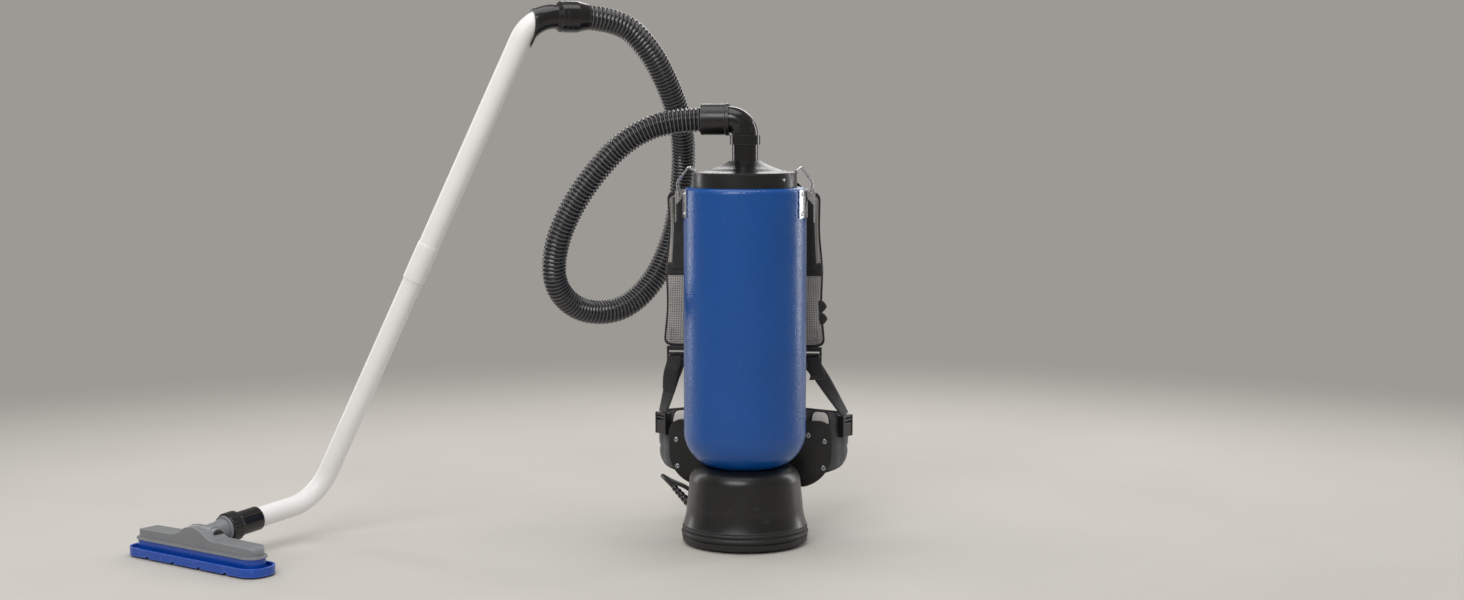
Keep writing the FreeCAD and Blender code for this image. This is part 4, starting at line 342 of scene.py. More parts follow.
class Dyehouse:
    """Makes the node material of each finish, once.

    A span of two numbers is stretched to 0 and 1, and one of four is mapped from its first pair to its second.
    """

    NOISE_SPAN = (0.3, 0.7)
    CLOUD_DEPTH = 0.35
    CREST_SPAN = (0.55, 1.0)
    SHEEN_ROUGHNESS = 0.5
    # Pale colour of rubbed edges and marks, which on edges is also a painted highlight, and their dullness
    WORN_PALE, WORN_GAIN, WORN_DULL = 0.09, 1.6, 0.35
    EDGE_RADIUS, EDGE_SAMPLES, EDGE_TURN = 0.003, 6, (0.995, 0.93)
    SCRATCHES_PER_METRE, SCRATCH_BREAKS = 70.0, (0.3, 0.6, 0.4, 1.0)
    NEAR_FLOOR, MARKS = (0.004, 0.030, 0.05, 0.0), (0.66, 0.76, 0.0, 0.5)
    PIT_SPAN, DEEP_PITS, SHALLOW_PITS = (0.45, 0.15), 0.9, 0.35
    WAVES_PER_SCALE, WAVE_WANDER = 3.2, 0.4
    GRAIN_WANDER, GRAIN_MIX, GRAIN_SMOOTHNESS = 1.3, 0.6, 0.6
    BRUSH_STRETCH = 0.04
    RIB_STRETCH, RIB_MIX = 0.45, 0.3

    def __init__(self) -> None:
        """Starts with no material."""
        self.made: dict[str, Material] = {}

    def material(self, finish: Finish) -> Material:
        """Gives a finish its material.

        Args:
            finish: Finish to show.

        Returns:
            The material, made on the first call.
        """
        if finish.name not in self.made:
            self.made[finish.name] = self._make(finish)
        return self.made[finish.name]

    def _make(self, finish: Finish) -> Material:
        """Builds colour clouds, roughness and relief for a finish.

        Args:
            finish: Finish to show.

        Returns:
            The new material.
        """
        material = bpy.data.materials.new(finish.name)
        material.diffuse_color = linear(finish.colour)
        tree = blank(material)
        place = add_node(tree, "ShaderNodeTexCoord").outputs
        relief, pit_tone_and_shade = self._relief(tree, finish, place["UV" if finish.cloth else "Object"])
        clouds = noise(tree, place["Object"], 1 / (finish.cloud_mm * MM), 4.0)
        drift = remap(tree, clouds, *self.NOISE_SPAN, 0.0, self.CLOUD_DEPTH)
        # Pits and gaps between threads are painted darker as shade; on smooth surfaces the pits are broad tone.
        paint = blend(tree, calc(tree, "MAXIMUM", drift, pit_tone_and_shade), linear(finish.colour), linear(finish.shade))
        scuff = noise(tree, place["Object"], 2 / (finish.cloud_mm * MM), 3.0, 0.4)
        dull = remap(tree, scuff, *self.NOISE_SPAN, finish.roughness - finish.spread, finish.roughness + finish.spread)
        # Crests are painted paler: partly wear, partly a painted highlight on each rib.
        if finish.crest_wear_and_highlight:
            crest = add_node(tree, "ShaderNodeAttribute", attribute_name="crest").outputs["Fac"]
            paint = blend(tree, remap(tree, crest, *self.CREST_SPAN), paint, linear(finish.crest_wear_and_highlight))
        # Edges are painted paler, partly as wear and partly as a highlight, and duller; marks near the floor are wear.
        if finish.wear_and_edge_highlight:
            rubbed_or_highlit = self._rubbed_and_highlit_edges(tree, finish, place["Object"])
            pale = (*[self.WORN_PALE + self.WORN_GAIN * c for c in linear(finish.colour)[:3]], 1.0)
            paint = blend(tree, rubbed_or_highlit, paint, pale)
            dull = calc(tree, "MULTIPLY_ADD", rubbed_or_highlit, self.WORN_DULL, dull)
        bump = add_node(tree, "ShaderNodeBump", {"Strength": 1.0, "Distance": finish.depth_mm * MM, "Height": relief})
        shader = add_node(tree, "ShaderNodeBsdfPrincipled", {
            "Base Color": paint, "Roughness": dull, "Normal": bump, "Metallic": finish.metallic,
            "IOR": finish.ior, "Sheen Weight": finish.sheen, "Sheen Roughness": self.SHEEN_ROUGHNESS})
        add_node(tree, "ShaderNodeOutputMaterial", {"Surface": shader})
        return material

    def _rubbed_and_highlit_edges(self, tree: Tree, finish: Finish, where: Socket) -> Socket:
        """Finds edges, painted paler as rubbed wear and as a painted highlight, and sparse wear marks that come closer
        together just above the floor.

        Args:
            tree: Material's tree.
            finish: Finish to show.
            where: Coordinates in metres.

        Returns:
            Socket that is high where the surface is rubbed, or has a painted edge highlight.
        """
        rounded = add_node(tree, "ShaderNodeBevel", {"Radius": self.EDGE_RADIUS}, samples=self.EDGE_SAMPLES)
        real = add_node(tree, "ShaderNodeNewGeometry")
        bent = add_node(tree, "ShaderNodeVectorMath", {0: rounded, 1: real.outputs["Normal"]}, operation="DOT_PRODUCT")
        scratches = noise(tree, where, self.SCRATCHES_PER_METRE, 3.0, 1.2)
        edge = calc(tree, "MULTIPLY", remap(tree, bent.outputs["Value"], *self.EDGE_TURN),
                    remap(tree, scratches, *self.SCRATCH_BREAKS))
        height = add_node(tree, "ShaderNodeSeparateXYZ", {0: where}).outputs[2]
        marks = remap(tree, calc(tree, "ADD", scratches, remap(tree, height, *self.NEAR_FLOOR)), *self.MARKS)
        return calc(tree, "MULTIPLY", calc(tree, "MAXIMUM", edge, marks), finish.wear_and_edge_highlight)

    def _relief(self, tree: Tree, finish: Finish, where: Socket) -> tuple[Socket, Socket]:
        """Builds the height pattern of a surface.

        Args:
            tree: Material's tree.
            finish: Finish to show.
            where: Coordinates that the pattern follows.

        Returns:
            Height socket from 0 to 1, and a socket that is high in pits and between threads, where shade is painted.
        """
        per_metre = 1 / (finish.pitch_mm * MM)
        if finish.cloth:
            height = self._threads(tree, finish, where)
        elif finish.surface is Surface.GRAIN:
            cells = add_node(tree, "ShaderNodeTexVoronoi", {
                "Vector": where, "Scale": per_metre, "Smoothness": self.GRAIN_SMOOTHNESS}, feature="SMOOTH_F1")
            wander = noise(tree, where, per_metre * self.GRAIN_WANDER)
            height = calc(tree, "MULTIPLY_ADD", wander, self.GRAIN_MIX, cells)
        elif finish.layered:
            way = "Z" if finish.surface is Surface.STACKED else "DIAGONAL"
            height = add_node(tree, "ShaderNodeTexWave", {
                "Vector": where, "Scale": per_metre / self.WAVES_PER_SCALE, "Distortion": self.WAVE_WANDER},
                bands_direction=way).outputs[1]
        else:
            stretch = [per_metre] * 3
            if finish.surface is Surface.BRUSHED:
                stretch[finish.along] = per_metre * self.BRUSH_STRETCH
            spread = add_node(tree, "ShaderNodeMapping", {"Vector": where, "Scale": stretch})
            height = noise(tree, spread, 1.0, 0.0 if finish.surface is Surface.SMOOTH else 2.0)
        # Cloth and layers get deep painted shade between threads and sheets, other reliefs a light one.
        deep = self.DEEP_PITS if finish.cloth or finish.layered else self.SHALLOW_PITS
        return height, remap(tree, height, *self.PIT_SPAN, 0.0, deep)

    def _threads(self, tree: Tree, finish: Finish, where: Socket) -> Socket:
        """Builds threads on UV coordinates in metres.

        Args:
            tree: Material's tree.
            finish: Woven, ribbed or net finish.
            where: UV socket.

        Returns:
            Height socket from 0 to 1.
        """
        split = add_node(tree, "ShaderNodeSeparateXYZ", {0: where}).outputs
        ways = [calc(tree, "MULTIPLY", split[i], math.pi / (finish.pitch_mm * MM)) for i in (0, 1)]
        if finish.surface is Surface.NET:
            ways = [calc(tree, operation, *ways) for operation in ("ADD", "SUBTRACT")]
        elif finish.surface is Surface.RIBBED:
            ways[1] = calc(tree, "MULTIPLY", ways[1], self.RIB_STRETCH)
        waves = [calc(tree, "SINE", way) for way in ways]
        if finish.surface is Surface.RIBBED:
            ribs = [calc(tree, "ABSOLUTE", wave) for wave in waves]
            return add_node(tree, "ShaderNodeMix", {0: self.RIB_MIX, 2: ribs[0], 3: ribs[1]}).outputs[0]
        return remap(tree, calc(tree, "MULTIPLY", *waves), -1.0, 1.0)


DYE = Dyehouse()
TREES: dict[str, Tree] = {}


def mesh_from(name: str, points: Iterable[Sequence[float]], faces: Iterable[Sequence[int]],
              uvs: Pairs | None = None, weld: float = 0.0) -> Mesh:
    """Makes a smooth mesh with an optional UV map in metres.

    Args:
        name: Name of the mesh.
        points: Corner points.
        faces: Corner numbers of each face.
        uvs: Thread coordinates of each point before welding.
        weld: Points nearer than this become one.

    Returns:
        The mesh, with faces pointing outwards when it is closed.
    """
    mesh = bpy.data.meshes.new(name)
    mesh.from_pydata([tuple(p) for p in points], [], [tuple(f) for f in faces])
    if uvs is not None:
        layer = mesh.uv_layers.new(name="thread")
        for loop in mesh.loops:
            layer.data[loop.index].uv = uvs[loop.vertex_index]
    shape = bmesh.new()
    shape.from_mesh(mesh)
    if weld:
        bmesh.ops.remove_doubles(shape, verts=shape.verts, dist=weld)
        bmesh.ops.dissolve_degenerate(shape, edges=shape.edges, dist=1e-7)
    bmesh.ops.recalc_face_normals(shape, faces=shape.faces)
    shape.to_mesh(mesh)
    shape.free()
    for face in mesh.polygons:
        face.use_smooth = True
    return mesh


def object_from(data: bpy.types.ID, name: str = "") -> Piece:
    """Puts a mesh, curve, lamp or camera in the scene as an object at the origin.

    Args:
        data: The mesh, curve, lamp or camera.
        name: Name of the object, where it isn't the data's.

    Returns:
        The object.
    """
    made = bpy.data.objects.new(name or data.name, data)
    bpy.context.scene.collection.objects.link(made)
    return made


def plain_mesh(carrier: Piece) -> Mesh:
    """Turns an object with its modifiers into a plain mesh, and removes the object.

    Args:
        carrier: The object.

    Returns:
        The mesh.
    """
    graph = bpy.context.evaluated_depsgraph_get()
    mesh = bpy.data.meshes.new_from_object(carrier.evaluated_get(graph), depsgraph=graph)
    bpy.data.objects.remove(carrier)
    return mesh


def prisms(name: str, outlines: Sequence[tuple[float, Pairs]], origin: Vector, axes: Sequence[Vector],
           edge: float) -> Piece:
    """Makes a moulded piece of prisms with rounded edges.

    Args:
        name: Name of the piece.
        outlines: Half depth and outline of each prism.
        origin: Point that they are measured from.
        axes: Directions across, through and along the outlines.
        edge: Width of the rounded edges.

    Returns:
        The piece.
    """
    across, through, along = axes
    points, faces = [], []
    for deep, outline in outlines:
        start, count = len(points), len(outline)
        points += [origin + across * x + through * y + along * z for y in (-deep, deep) for x, z in outline]
        faces += [tuple(range(start, start + count))[::-1], tuple(range(start + count, start + 2 * count))]
        faces += [(start + i, start + (i + 1) % count, start + count + (i + 1) % count, start + count + i)
                  for i in range(count)]
    piece = object_from(mesh_from(name, points, faces))
    soft = piece.modifiers.new("soft_edges", "BEVEL")
    soft.width, soft.segments = edge, 3
    piece.modifiers.new("true_faces", "WEIGHTED_NORMAL")
    return piece


def dress(piece: Piece, body: str, finish: Finish, *nodes: str) -> None:
    """Gives a piece its material, its body and the CAD nodes that it stands for, and reports it.

    Args:
        piece: Finished piece.
        body: CAD body that it moves with.
        finish: Its finish.
        nodes: CAD nodes that it replaces.
    """
    piece.data.materials.clear()
    piece.data.materials.append(DYE.material(finish))
    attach(piece, body)
    if nodes:
        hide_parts(*nodes)
    LOG.info("%s rides %s in %s", piece.name, body, finish.name)


def swept(name: str, rings: Sequence[Sequence[Vector]], along: Sequence[float], round_length: float,
          closed: bool = False) -> Mesh:
    """Skins closed rings of points in order.

    Args:
        name: Name of the mesh.
        rings: Rings with the same number of points.
        along: Distance of each ring from the first, for the threads.
        round_length: Length round a ring, for the threads.
        closed: Whether the last ring meets the first.

    Returns:
        The mesh, with its ends shut unless it is closed.
    """
    count, total = len(rings[0]), len(rings)
    points = [ring[j % count] for ring in rings for j in range(count + 1)]
    uvs = [(round_length * j / count, distance) for distance in along for j in range(count + 1)]
    faces = [tuple(k % len(points) for k in face) for face in grid(total if closed else total - 1, count)]
    if not closed:
        faces.append(tuple(range(count))[::-1])
        faces.append(tuple((total - 1) * (count + 1) + j for j in range(count)))
    return mesh_from(name, points, faces, uvs, weld=1e-6)


def smooth_path(points: Sequence[Vector], steps: int) -> list[Vector]:
    """Passes a Catmull-Rom line through points.

    Args:
        points: Points that the line passes through.
        steps: New points for each run.

    Returns:
        Points along the line.
    """
    line = []
    for i in range(len(points) - 1):
        p0, p1, p2, p3 = points[max(i - 1, 0)], points[i], points[i + 1], points[min(i + 2, len(points) - 1)]
        for k in range(steps):
            t = k / steps
            line.append(0.5 * (2 * p1 + (p2 - p0) * t + (2 * p0 - 5 * p1 + 4 * p2 - p3) * t ** 2
                               + (3 * p1 - p0 - 3 * p2 + p3) * t ** 3))
    return line + [points[-1].copy()]


def distances(points: Sequence[Vector]) -> list[float]:
    """Measures along a line.

    Args:
        points: Points of the line.

    Returns:
        Distance of each point from the first.
    """
    total = [0.0]
    for a, b in zip(points, points[1:]):
        total.append(total[-1] + (b - a).length)
    return total


class Loom:
    """Geometry Nodes trees for what repeats: ribs, stitches and studs."""

    @staticmethod
    def start(name: str, sizes: dict[str, str]) -> tuple[Tree, bpy.types.bpy_prop_collection]:
        """Starts a tree with a mesh, a material and named sizes as inputs, and a mesh as output.

        Args:
            name: Name of the tree.
            sizes: Kind of socket of each size.

        Returns:
            The tree and its inputs.
        """
        tree = bpy.data.node_groups.new(name, "GeometryNodeTree")
        for label, kind in {"Mesh": "Geometry", **sizes, "Material": "Material"}.items():
            tree.interface.new_socket(name=label, in_out="INPUT", socket_type="NodeSocket" + kind)
        tree.interface.new_socket(name="Mesh", in_out="OUTPUT", socket_type="NodeSocketGeometry")
        return tree, add_node(tree, "NodeGroupInput").outputs

    @staticmethod
    def end(tree: Tree, shape: Socket, material: Socket) -> Tree:
        """Ends a tree in Realize Instances, Set Shade Smooth and Set Material.

        Args:
            tree: The tree.
            shape: Geometry to finish.
            material: Material input of the tree.

        Returns:
            The finished tree.
        """
        real = add_node(tree, "GeometryNodeRealizeInstances", {0: shape})
        smooth = add_node(tree, "GeometryNodeSetShadeSmooth", {0: real})
        painted = add_node(tree, "GeometryNodeSetMaterial", {"Geometry": smooth, "Material": material})
        add_node(tree, "NodeGroupOutput", {0: painted})
        return tree

    @classmethod
    def ribs(cls) -> Tree:
        """Tree for a corrugated tube: a line is cut into even steps whose radius rises and falls.

        Returns:
            The tree.
        """
        tree, size = cls.start("corrugation", {"Rib pitch": "Float", "Crest radius": "Float",
                                               "Valley radius": "Float", "Steps": "Int", "Sides": "Int"})
        line = add_node(tree, "GeometryNodeMeshToCurve", {0: size["Mesh"]})
        even = add_node(tree, "GeometryNodeResampleCurve", {
            "Curve": line, "Length": calc(tree, "DIVIDE", size["Rib pitch"], size["Steps"])}, mode="LENGTH")
        number = add_node(tree, "GeometryNodeInputIndex").outputs[0]
        phase = calc(tree, "DIVIDE", number, size["Steps"])
        wave = calc(tree, "COSINE", calc(tree, "MULTIPLY", phase, FULL_TURN))
        radius = remap(tree, wave, -0.75, 0.75, size["Valley radius"], size["Crest radius"])
        # Marks the crests for the paler crest colour, which is partly wear and partly painted highlight.
        marked = add_node(tree, "GeometryNodeStoreNamedAttribute", {
            "Geometry": even, "Name": "crest", "Value": remap(tree, wave, -1.0, 1.0)}, domain="POINT")
        ring = add_node(tree, "GeometryNodeCurvePrimitiveCircle", {"Resolution": size["Sides"], "Radius": 1.0})
        tube = add_node(tree, "GeometryNodeCurveToMesh", {"Curve": marked, "Profile Curve": ring,
                                                          "Scale": radius, "Fill Caps": True})
        return cls.end(tree, tube, size["Material"])

    @classmethod
    def stitches(cls) -> Tree:
        """Tree for sewing: short rounded threads at a pitch along a line.

        Returns:
            The tree.
        """
        tree, size = cls.start("sewing", {"Pitch": "Float", "Stitch": "Float", "Thread": "Float"})
        line = add_node(tree, "GeometryNodeMeshToCurve", {0: size["Mesh"]})
        points = add_node(tree, "GeometryNodeCurveToPoints", {"Curve": line, "Length": size["Pitch"]}, mode="LENGTH")
        along = add_node(tree, "FunctionNodeAlignRotationToVector", {"Vector": points.outputs["Tangent"]}, axis="X")
        bead = add_node(tree, "GeometryNodeMeshUVSphere", {"Segments": 8, "Rings": 6, "Radius": 0.5})
        scale = add_node(tree, "ShaderNodeCombineXYZ", {0: size["Stitch"], 1: size["Thread"], 2: size["Thread"]})
        laid = add_node(tree, "GeometryNodeInstanceOnPoints", {"Points": points, "Instance": bead, "Rotation": along,
            "Scale": scale})
        return cls.end(tree, laid, size["Material"])

    @classmethod
    def studs(cls) -> Tree:
        """Tree for heads and tufts: an object stands on each point along the point's aim, leaning at random.

        Returns:
            The tree.
        """
        tree, size = cls.start("studs", {"Head": "Object", "Lean": "Float", "Seed": "Int"})
        points = add_node(tree, "GeometryNodeMeshToPoints", {0: size["Mesh"]})
        aim = add_node(tree, "GeometryNodeInputNamedAttribute", {"Name": "aim"}, data_type="FLOAT_VECTOR")
        upright = add_node(tree, "FunctionNodeAlignRotationToVector", {"Vector": aim}, axis="Z")
        back = calc(tree, "MULTIPLY", size["Lean"], -1.0)
        low = add_node(tree, "ShaderNodeCombineXYZ", {0: back, 1: back, 2: -math.pi})
        high = add_node(tree, "ShaderNodeCombineXYZ", {0: size["Lean"], 1: size["Lean"], 2: math.pi})
        lean = add_node(tree, "FunctionNodeRandomValue", {0: low, 1: high,
                                                          "Seed": size["Seed"]}, data_type="FLOAT_VECTOR")
        spun = add_node(tree, "FunctionNodeRotateRotation", {0: upright, 1: lean}, rotation_space="LOCAL")
        head = add_node(tree, "GeometryNodeObjectInfo", {"Object": size["Head"]})
        laid = add_node(tree, "GeometryNodeInstanceOnPoints", {
            "Points": points, "Instance": head.outputs["Geometry"], "Rotation": spun})
        return cls.end(tree, laid, size["Material"])

    @staticmethod
    def grow(name: str, seed: Mesh, kind: str, finish: Finish, sizes: dict[str, object]) -> Piece:
        """Runs a tree on a mesh and keeps the result as a plain mesh.

        Args:
            name: Name of the new object.
            seed: Mesh of lines or points that the tree starts from.
            kind: Name of the tree.
            finish: Finish of what it makes.
            sizes: Value of each named input.

        Returns:
            Object with the grown mesh.
        """
        carrier = object_from(seed, name + "_seed")
        modifier = carrier.modifiers.new("grow", "NODES")
        modifier.node_group = TREES[kind]
        values = {**sizes, "Material": DYE.material(finish)}
        for item in TREES[kind].interface.items_tree:
            if item.name in values:
                modifier[item.identifier] = values[item.name]
        mesh = plain_mesh(carrier)
        mesh.name = name
        return object_from(mesh, name)


def sew(name: str, lines: Sequence[Sequence[Vector]], body: str, pitch: float = 0.0042, stitch: float = 0.003,
        thread: float = 0.0007) -> None:
    """Sews stitches along lines, as one piece.

    Args:
        name: Name of the piece.
        lines: Lines to sew along.
        body: Body that they move with.
        pitch: Distance from stitch to stitch.
        stitch: Length of a stitch.
        thread: Thickness of the thread.
    """
    seed = bpy.data.meshes.new(name + "_lines")
    points, edges = [], []
    for line in lines:
        edges += [(len(points) + i, len(points) + i + 1) for i in range(len(line) - 1)]
        points += [tuple(p) for p in line]
    seed.from_pydata(points, edges, [])
    made = Loom.grow(name, seed, "stitches", THREAD, {"Pitch": pitch, "Stitch": stitch, "Thread": thread})
    dress(made, body, THREAD)


def stud(name: str, places: Sequence[tuple[Vector, Vector]], head: Mesh, body: str, finish: Finish, *nodes: str,
         lean: float = 0.0, seed: int = 3) -> None:
    """Sets a head on each place, all as one piece.

    Args:
        name: Name of the piece.
        places: Point and outward direction of each head.
        head: Head about +Z.
        body: Body that they move with.
        finish: Their finish.
        nodes: CAD nodes that they replace.
        lean: Largest random lean in radians.
        seed: Seed of the lean.
    """
    points = bpy.data.meshes.new(name + "_points")
    points.from_pydata([tuple(p) for p, _ in places], [], [])
    aims = points.attributes.new("aim", "FLOAT_VECTOR", "POINT")
    for item, (_, aim) in zip(aims.data, places):
        item.vector = tuple(aim)
    model = object_from(head, name + "_head")
    made = Loom.grow(name, points, "studs", finish, {"Head": model, "Lean": lean, "Seed": seed})
    bpy.data.objects.remove(model)
    dress(made, body, finish, *nodes)


def turned(name: str, profile_mm: Pairs, sides: int = 24) -> Mesh:
    """Turns a profile of (radius, height) about +Z and shuts it at the axis.

    Args:
        name: Name of the mesh.
        profile_mm: Radius and height of each corner.
        sides: Number of flats.

    Returns:
        The turned mesh.
    """
    points = [(r * MM * x, r * MM * y, z * MM) for r, z in profile_mm for x, y in circle(sides)]
    faces = []
    for i in range(0, len(points) - sides, sides):
        for j in range(sides):
            k = (j + 1) % sides
            faces.append((i + j, i + k, i + sides + k, i + sides + j))
    return mesh_from(name, points, faces, weld=1e-7)


@dataclass
class Studio:
    """Camera, lamps, floor and background.

    Attributes:
        eye: Place of the camera.
        heading: Degrees that it looks left of +Y.
        dip: Degrees that it looks down.
        focal_px: Focal length in the photograph's pixels.
        sensor_mm: Width of the camera's sensor.
        backdrop: Colour behind everything.
        floor_tones: Two colours that the floor drifts between.
        floor_radius: Radius of the floor.
        floor_fade: Distances between which the floor passes into the backdrop.
        fill: Strength of the light from all round.
        lamps: Name, place, target, width, height and watts of each soft box.
    """

    eye: Triple = (0.2645, -3.2694, 0.716)
    heading: float = 5.0
    dip: float = 5.43
    focal_px: float = 2000.0
    sensor_mm: float = 36.0
    backdrop: str = "#9d9a95"
    floor_tones: tuple[str, str] = ("#c2beb7", "#b9b5ae")
    floor_radius: float = 9.0
    floor_fade: tuple[float, float] = (1.1, 2.6)
    fill: float = 0.55
    lamps: tuple[tuple[str, Triple, Triple, float, float, float], ...] = (
        ("rim_left", (-2.4, 1.3, 1.0), (-0.1, 0.0, 0.45), 0.5, 2.0, 13.0),
        ("rim_right", (2.2, 1.6, 1.0), (0.0, 0.0, 0.45), 0.5, 2.0, 18.0),
        ("soft_front", (-0.9, -2.9, 2.5), (-0.2, 0.0, 0.4), 2.2, 1.2, 60.0),
        ("soft_top", (-0.3, -0.2, 2.8), (-0.2, 0.0, 0.3), 2.4, 1.6, 26.0),
        ("soft_back", (0.2, 2.6, 1.8), (-0.1, 0.0, 0.4), 1.8, 1.2, 20.0),
    )

    def build(self) -> None:
        """Sets up the whole studio."""
        self._camera()
        for lamp in self.lamps:
            self._lamp(*lamp)
        self._floor()
        self._background()
        bpy.context.scene.view_settings.view_transform = "Standard"
        LOG.info("studio is set")

    def _camera(self) -> None:
        """Places the camera as the photograph's was."""
        data = bpy.data.cameras.new("camera")
        data.sensor_width = self.sensor_mm
        data.lens = self.focal_px * self.sensor_mm / PHOTO_WIDTH_PX
        data.clip_end = 60.0
        camera = object_from(data)
        camera.location = self.eye
        camera.rotation_euler = (math.radians(90 - self.dip), 0.0, math.radians(self.heading))
        bpy.context.scene.camera = camera

    def _lamp(self, name: str, place: Triple, target: Triple, width: float, height: float, watts: float) -> None:
        """Adds one soft box.

        Args:
            name: Name of the lamp.
            place: Where it stands.
            target: Point that it faces.
            width: Its width.
            height: Its height.
            watts: Its power.
        """
        data = bpy.data.lights.new(name, "AREA")
        data.shape = "RECTANGLE"
        data.size, data.size_y, data.energy = width, height, watts
        lamp = object_from(data)
        lamp.location = place
        lamp.visible_camera = False
        lamp.rotation_euler = (Vector(target) - Vector(place)).to_track_quat("-Z", "Y").to_euler()

    def _floor(self) -> None:
        """Lays a pale round floor that fades into the backdrop far from the object."""
        rim = [(self.floor_radius * x, self.floor_radius * y, 0.0) for x, y in circle(64)]
        faces = [(0, i + 1, (i + 1) % len(rim) + 1) for i in range(len(rim))]
        floor = object_from(mesh_from("pale_floor", [(0.0, 0.0, 0.0)] + rim, faces))
        material = bpy.data.materials.new("painted_floor")
        tree = blank(material)
        place = add_node(tree, "ShaderNodeTexCoord").outputs["Object"]
        tone = blend(tree, noise(tree, place, 3.0), *[linear(code) for code in self.floor_tones])
        paint = add_node(tree, "ShaderNodeBsdfPrincipled", {"Base Color": tone, "Roughness": 0.75})
        far = add_node(tree, "ShaderNodeVectorMath", {0: place}, operation="LENGTH")
        fade = add_node(tree, "ShaderNodeMapRange", {
            "Value": far.outputs["Value"], "From Min": self.floor_fade[0], "From Max": self.floor_fade[1]},
            interpolation_type="SMOOTHSTEP")
        rays = add_node(tree, "ShaderNodeLightPath").outputs
        wall = add_node(tree, "ShaderNodeEmission", {"Color": linear(self.backdrop), "Strength": 1.0})
        seen = calc(tree, "MULTIPLY", fade, rays["Is Camera Ray"])
        shader = add_node(tree, "ShaderNodeMixShader", {0: seen, 1: paint, 2: wall})
        add_node(tree, "ShaderNodeOutputMaterial", {"Surface": shader})
        floor.data.materials.append(material)

    def _background(self) -> None:
        """Shows the backdrop to the camera and in reflections, and lights the scene plainly."""
        world = bpy.data.worlds.new("pale_room")
        tree = blank(world)
        rays = add_node(tree, "ShaderNodeLightPath").outputs
        seen = calc(tree, "MAXIMUM", rays["Is Camera Ray"], rays["Is Glossy Ray"])
        fill = add_node(tree, "ShaderNodeBackground", {"Color": linear("#f4f4f4"), "Strength": self.fill})
        shown = add_node(tree, "ShaderNodeBackground", {"Color": linear(self.backdrop), "Strength": 1.0})
        mixed = add_node(tree, "ShaderNodeMixShader", {0: seen, 1: fill, 2: shown})
        add_node(tree, "ShaderNodeOutputWorld", {"Surface": mixed})
        bpy.context.scene.world = world


def nurbs_line(name: str, route_mm: Sequence[Triple]) -> Piece:
    """Makes a smooth NURBS line whose control points are a route's points.

    Args:
        name: Name of the curve.
        route_mm: Points of the route.

    Returns:
        Curve object with one open spline.
    """
    curve = bpy.data.curves.new(name, "CURVE")
    curve.dimensions = "3D"
    curve.resolution_u = 12
    spline = curve.splines.new("NURBS")
    spline.points.add(len(route_mm) - 1)
    for point, place in zip(spline.points, route_mm):
        point.co = (*[c * MM for c in place], 1.0)
    spline.order_u = 3
    spline.use_endpoint_u = True
    return object_from(curve)


@dataclass
class HoseSet:
    """Ribbed hose from the elbow to the wand.

    Attributes:
        crest: Radius at a rib's crest.
        valley: Radius between ribs.
        steps: Rings of points for each rib.
        length: Length that the photograph shows.
        exit: Where it leaves the elbow's cuff.
        route_mm: Control points of its line, the first and last inside the cuffs.
    """

    body: str = "hose_set"
    crest: float = 0.0205
    valley: float = 0.0177
    pitch: float = 0.0068
    steps: int = 6
    sides: int = 28
    length: float = 1.29
    exit: Triple = (-0.072, 0.0, 0.7005)
    route_mm: tuple[Triple, ...] = (
        (-48, 0, 700.5), (-123, 0, 700.5), (-192, -8, 671), (-244, -15, 617), (-286, -16, 556), (-316, -6, 489),
        (-323, 24, 421), (-287, 72, 374), (-226, 116, 370), (-178, 158, 409), (-147, 188, 474), (-131, 200, 545),
        (-121, 182, 616), (-118, 134, 687), (-135, 83, 756), (-164, 34, 821), (-210, 2, 866), (-276, -34, 866))

    def build(self) -> None:
        centres = plain_mesh(nurbs_line("hose_line", self.route_mm))
        hose = Loom.grow("ribbed_hose", centres, "ribs", HOSE_VINYL, {
            "Rib pitch": self.pitch, "Crest radius": self.crest, "Valley radius": self.valley,
            "Steps": self.steps, "Sides": self.sides})
        dress(hose, self.body, HOSE_VINYL, "hose")


@dataclass
class Pigtail:
    """Short mains lead from the base's strain relief to its plug.

    Attributes:
        length: Length from the strain relief to the plug.
        exit: Tip of the strain relief.
        route_mm: Control points of its line.
    """

    body: str = "vacuum"
    radius: float = 0.004
    length: float = 0.44
    exit: Triple = (-0.1286, 0.0771, 0.0764)
    route_mm: tuple[Triple, ...] = (
        (-117.9, 66.9, 68.1), (-143.8, 91.6, 87.5), (-153, 115.7, 88), (-150.7, 143.3, 79), (-138, 170, 66),
        (-118, 191, 54), (-96, 206, 30), (-69, 217, 12), (-38, 222, 4.4), (-10, 223, 4.2), (17, 230, 4.2),
        (35, 251, 4.2), (35, 279, 4.2), (17, 301, 9), (-10, 308, 14), (-34, 311, 14))

    def build(self, nodes: dict[str, Piece]) -> None:
        """Args:
            nodes: CAD nodes by name; not used.
        """
        lead = nurbs_line("mains_lead", self.route_mm)
        lead.data.bevel_depth = self.radius
        lead.data.bevel_resolution = 5
        lead.data.use_fill_caps = True
        dress(lead, self.body, CORD_PVC, "power_cord")


@dataclass
class Section:
    """Place and size of a pad across one line of its length.

    Attributes:
        centre: Middle of its back.
        across: Direction to its right edge.
        out: Direction of its thickness.
        half: Half its width.
        thick: Its thickness.
    """

    centre: Vector
    across: Vector
    out: Vector
    half: float
    thick: float


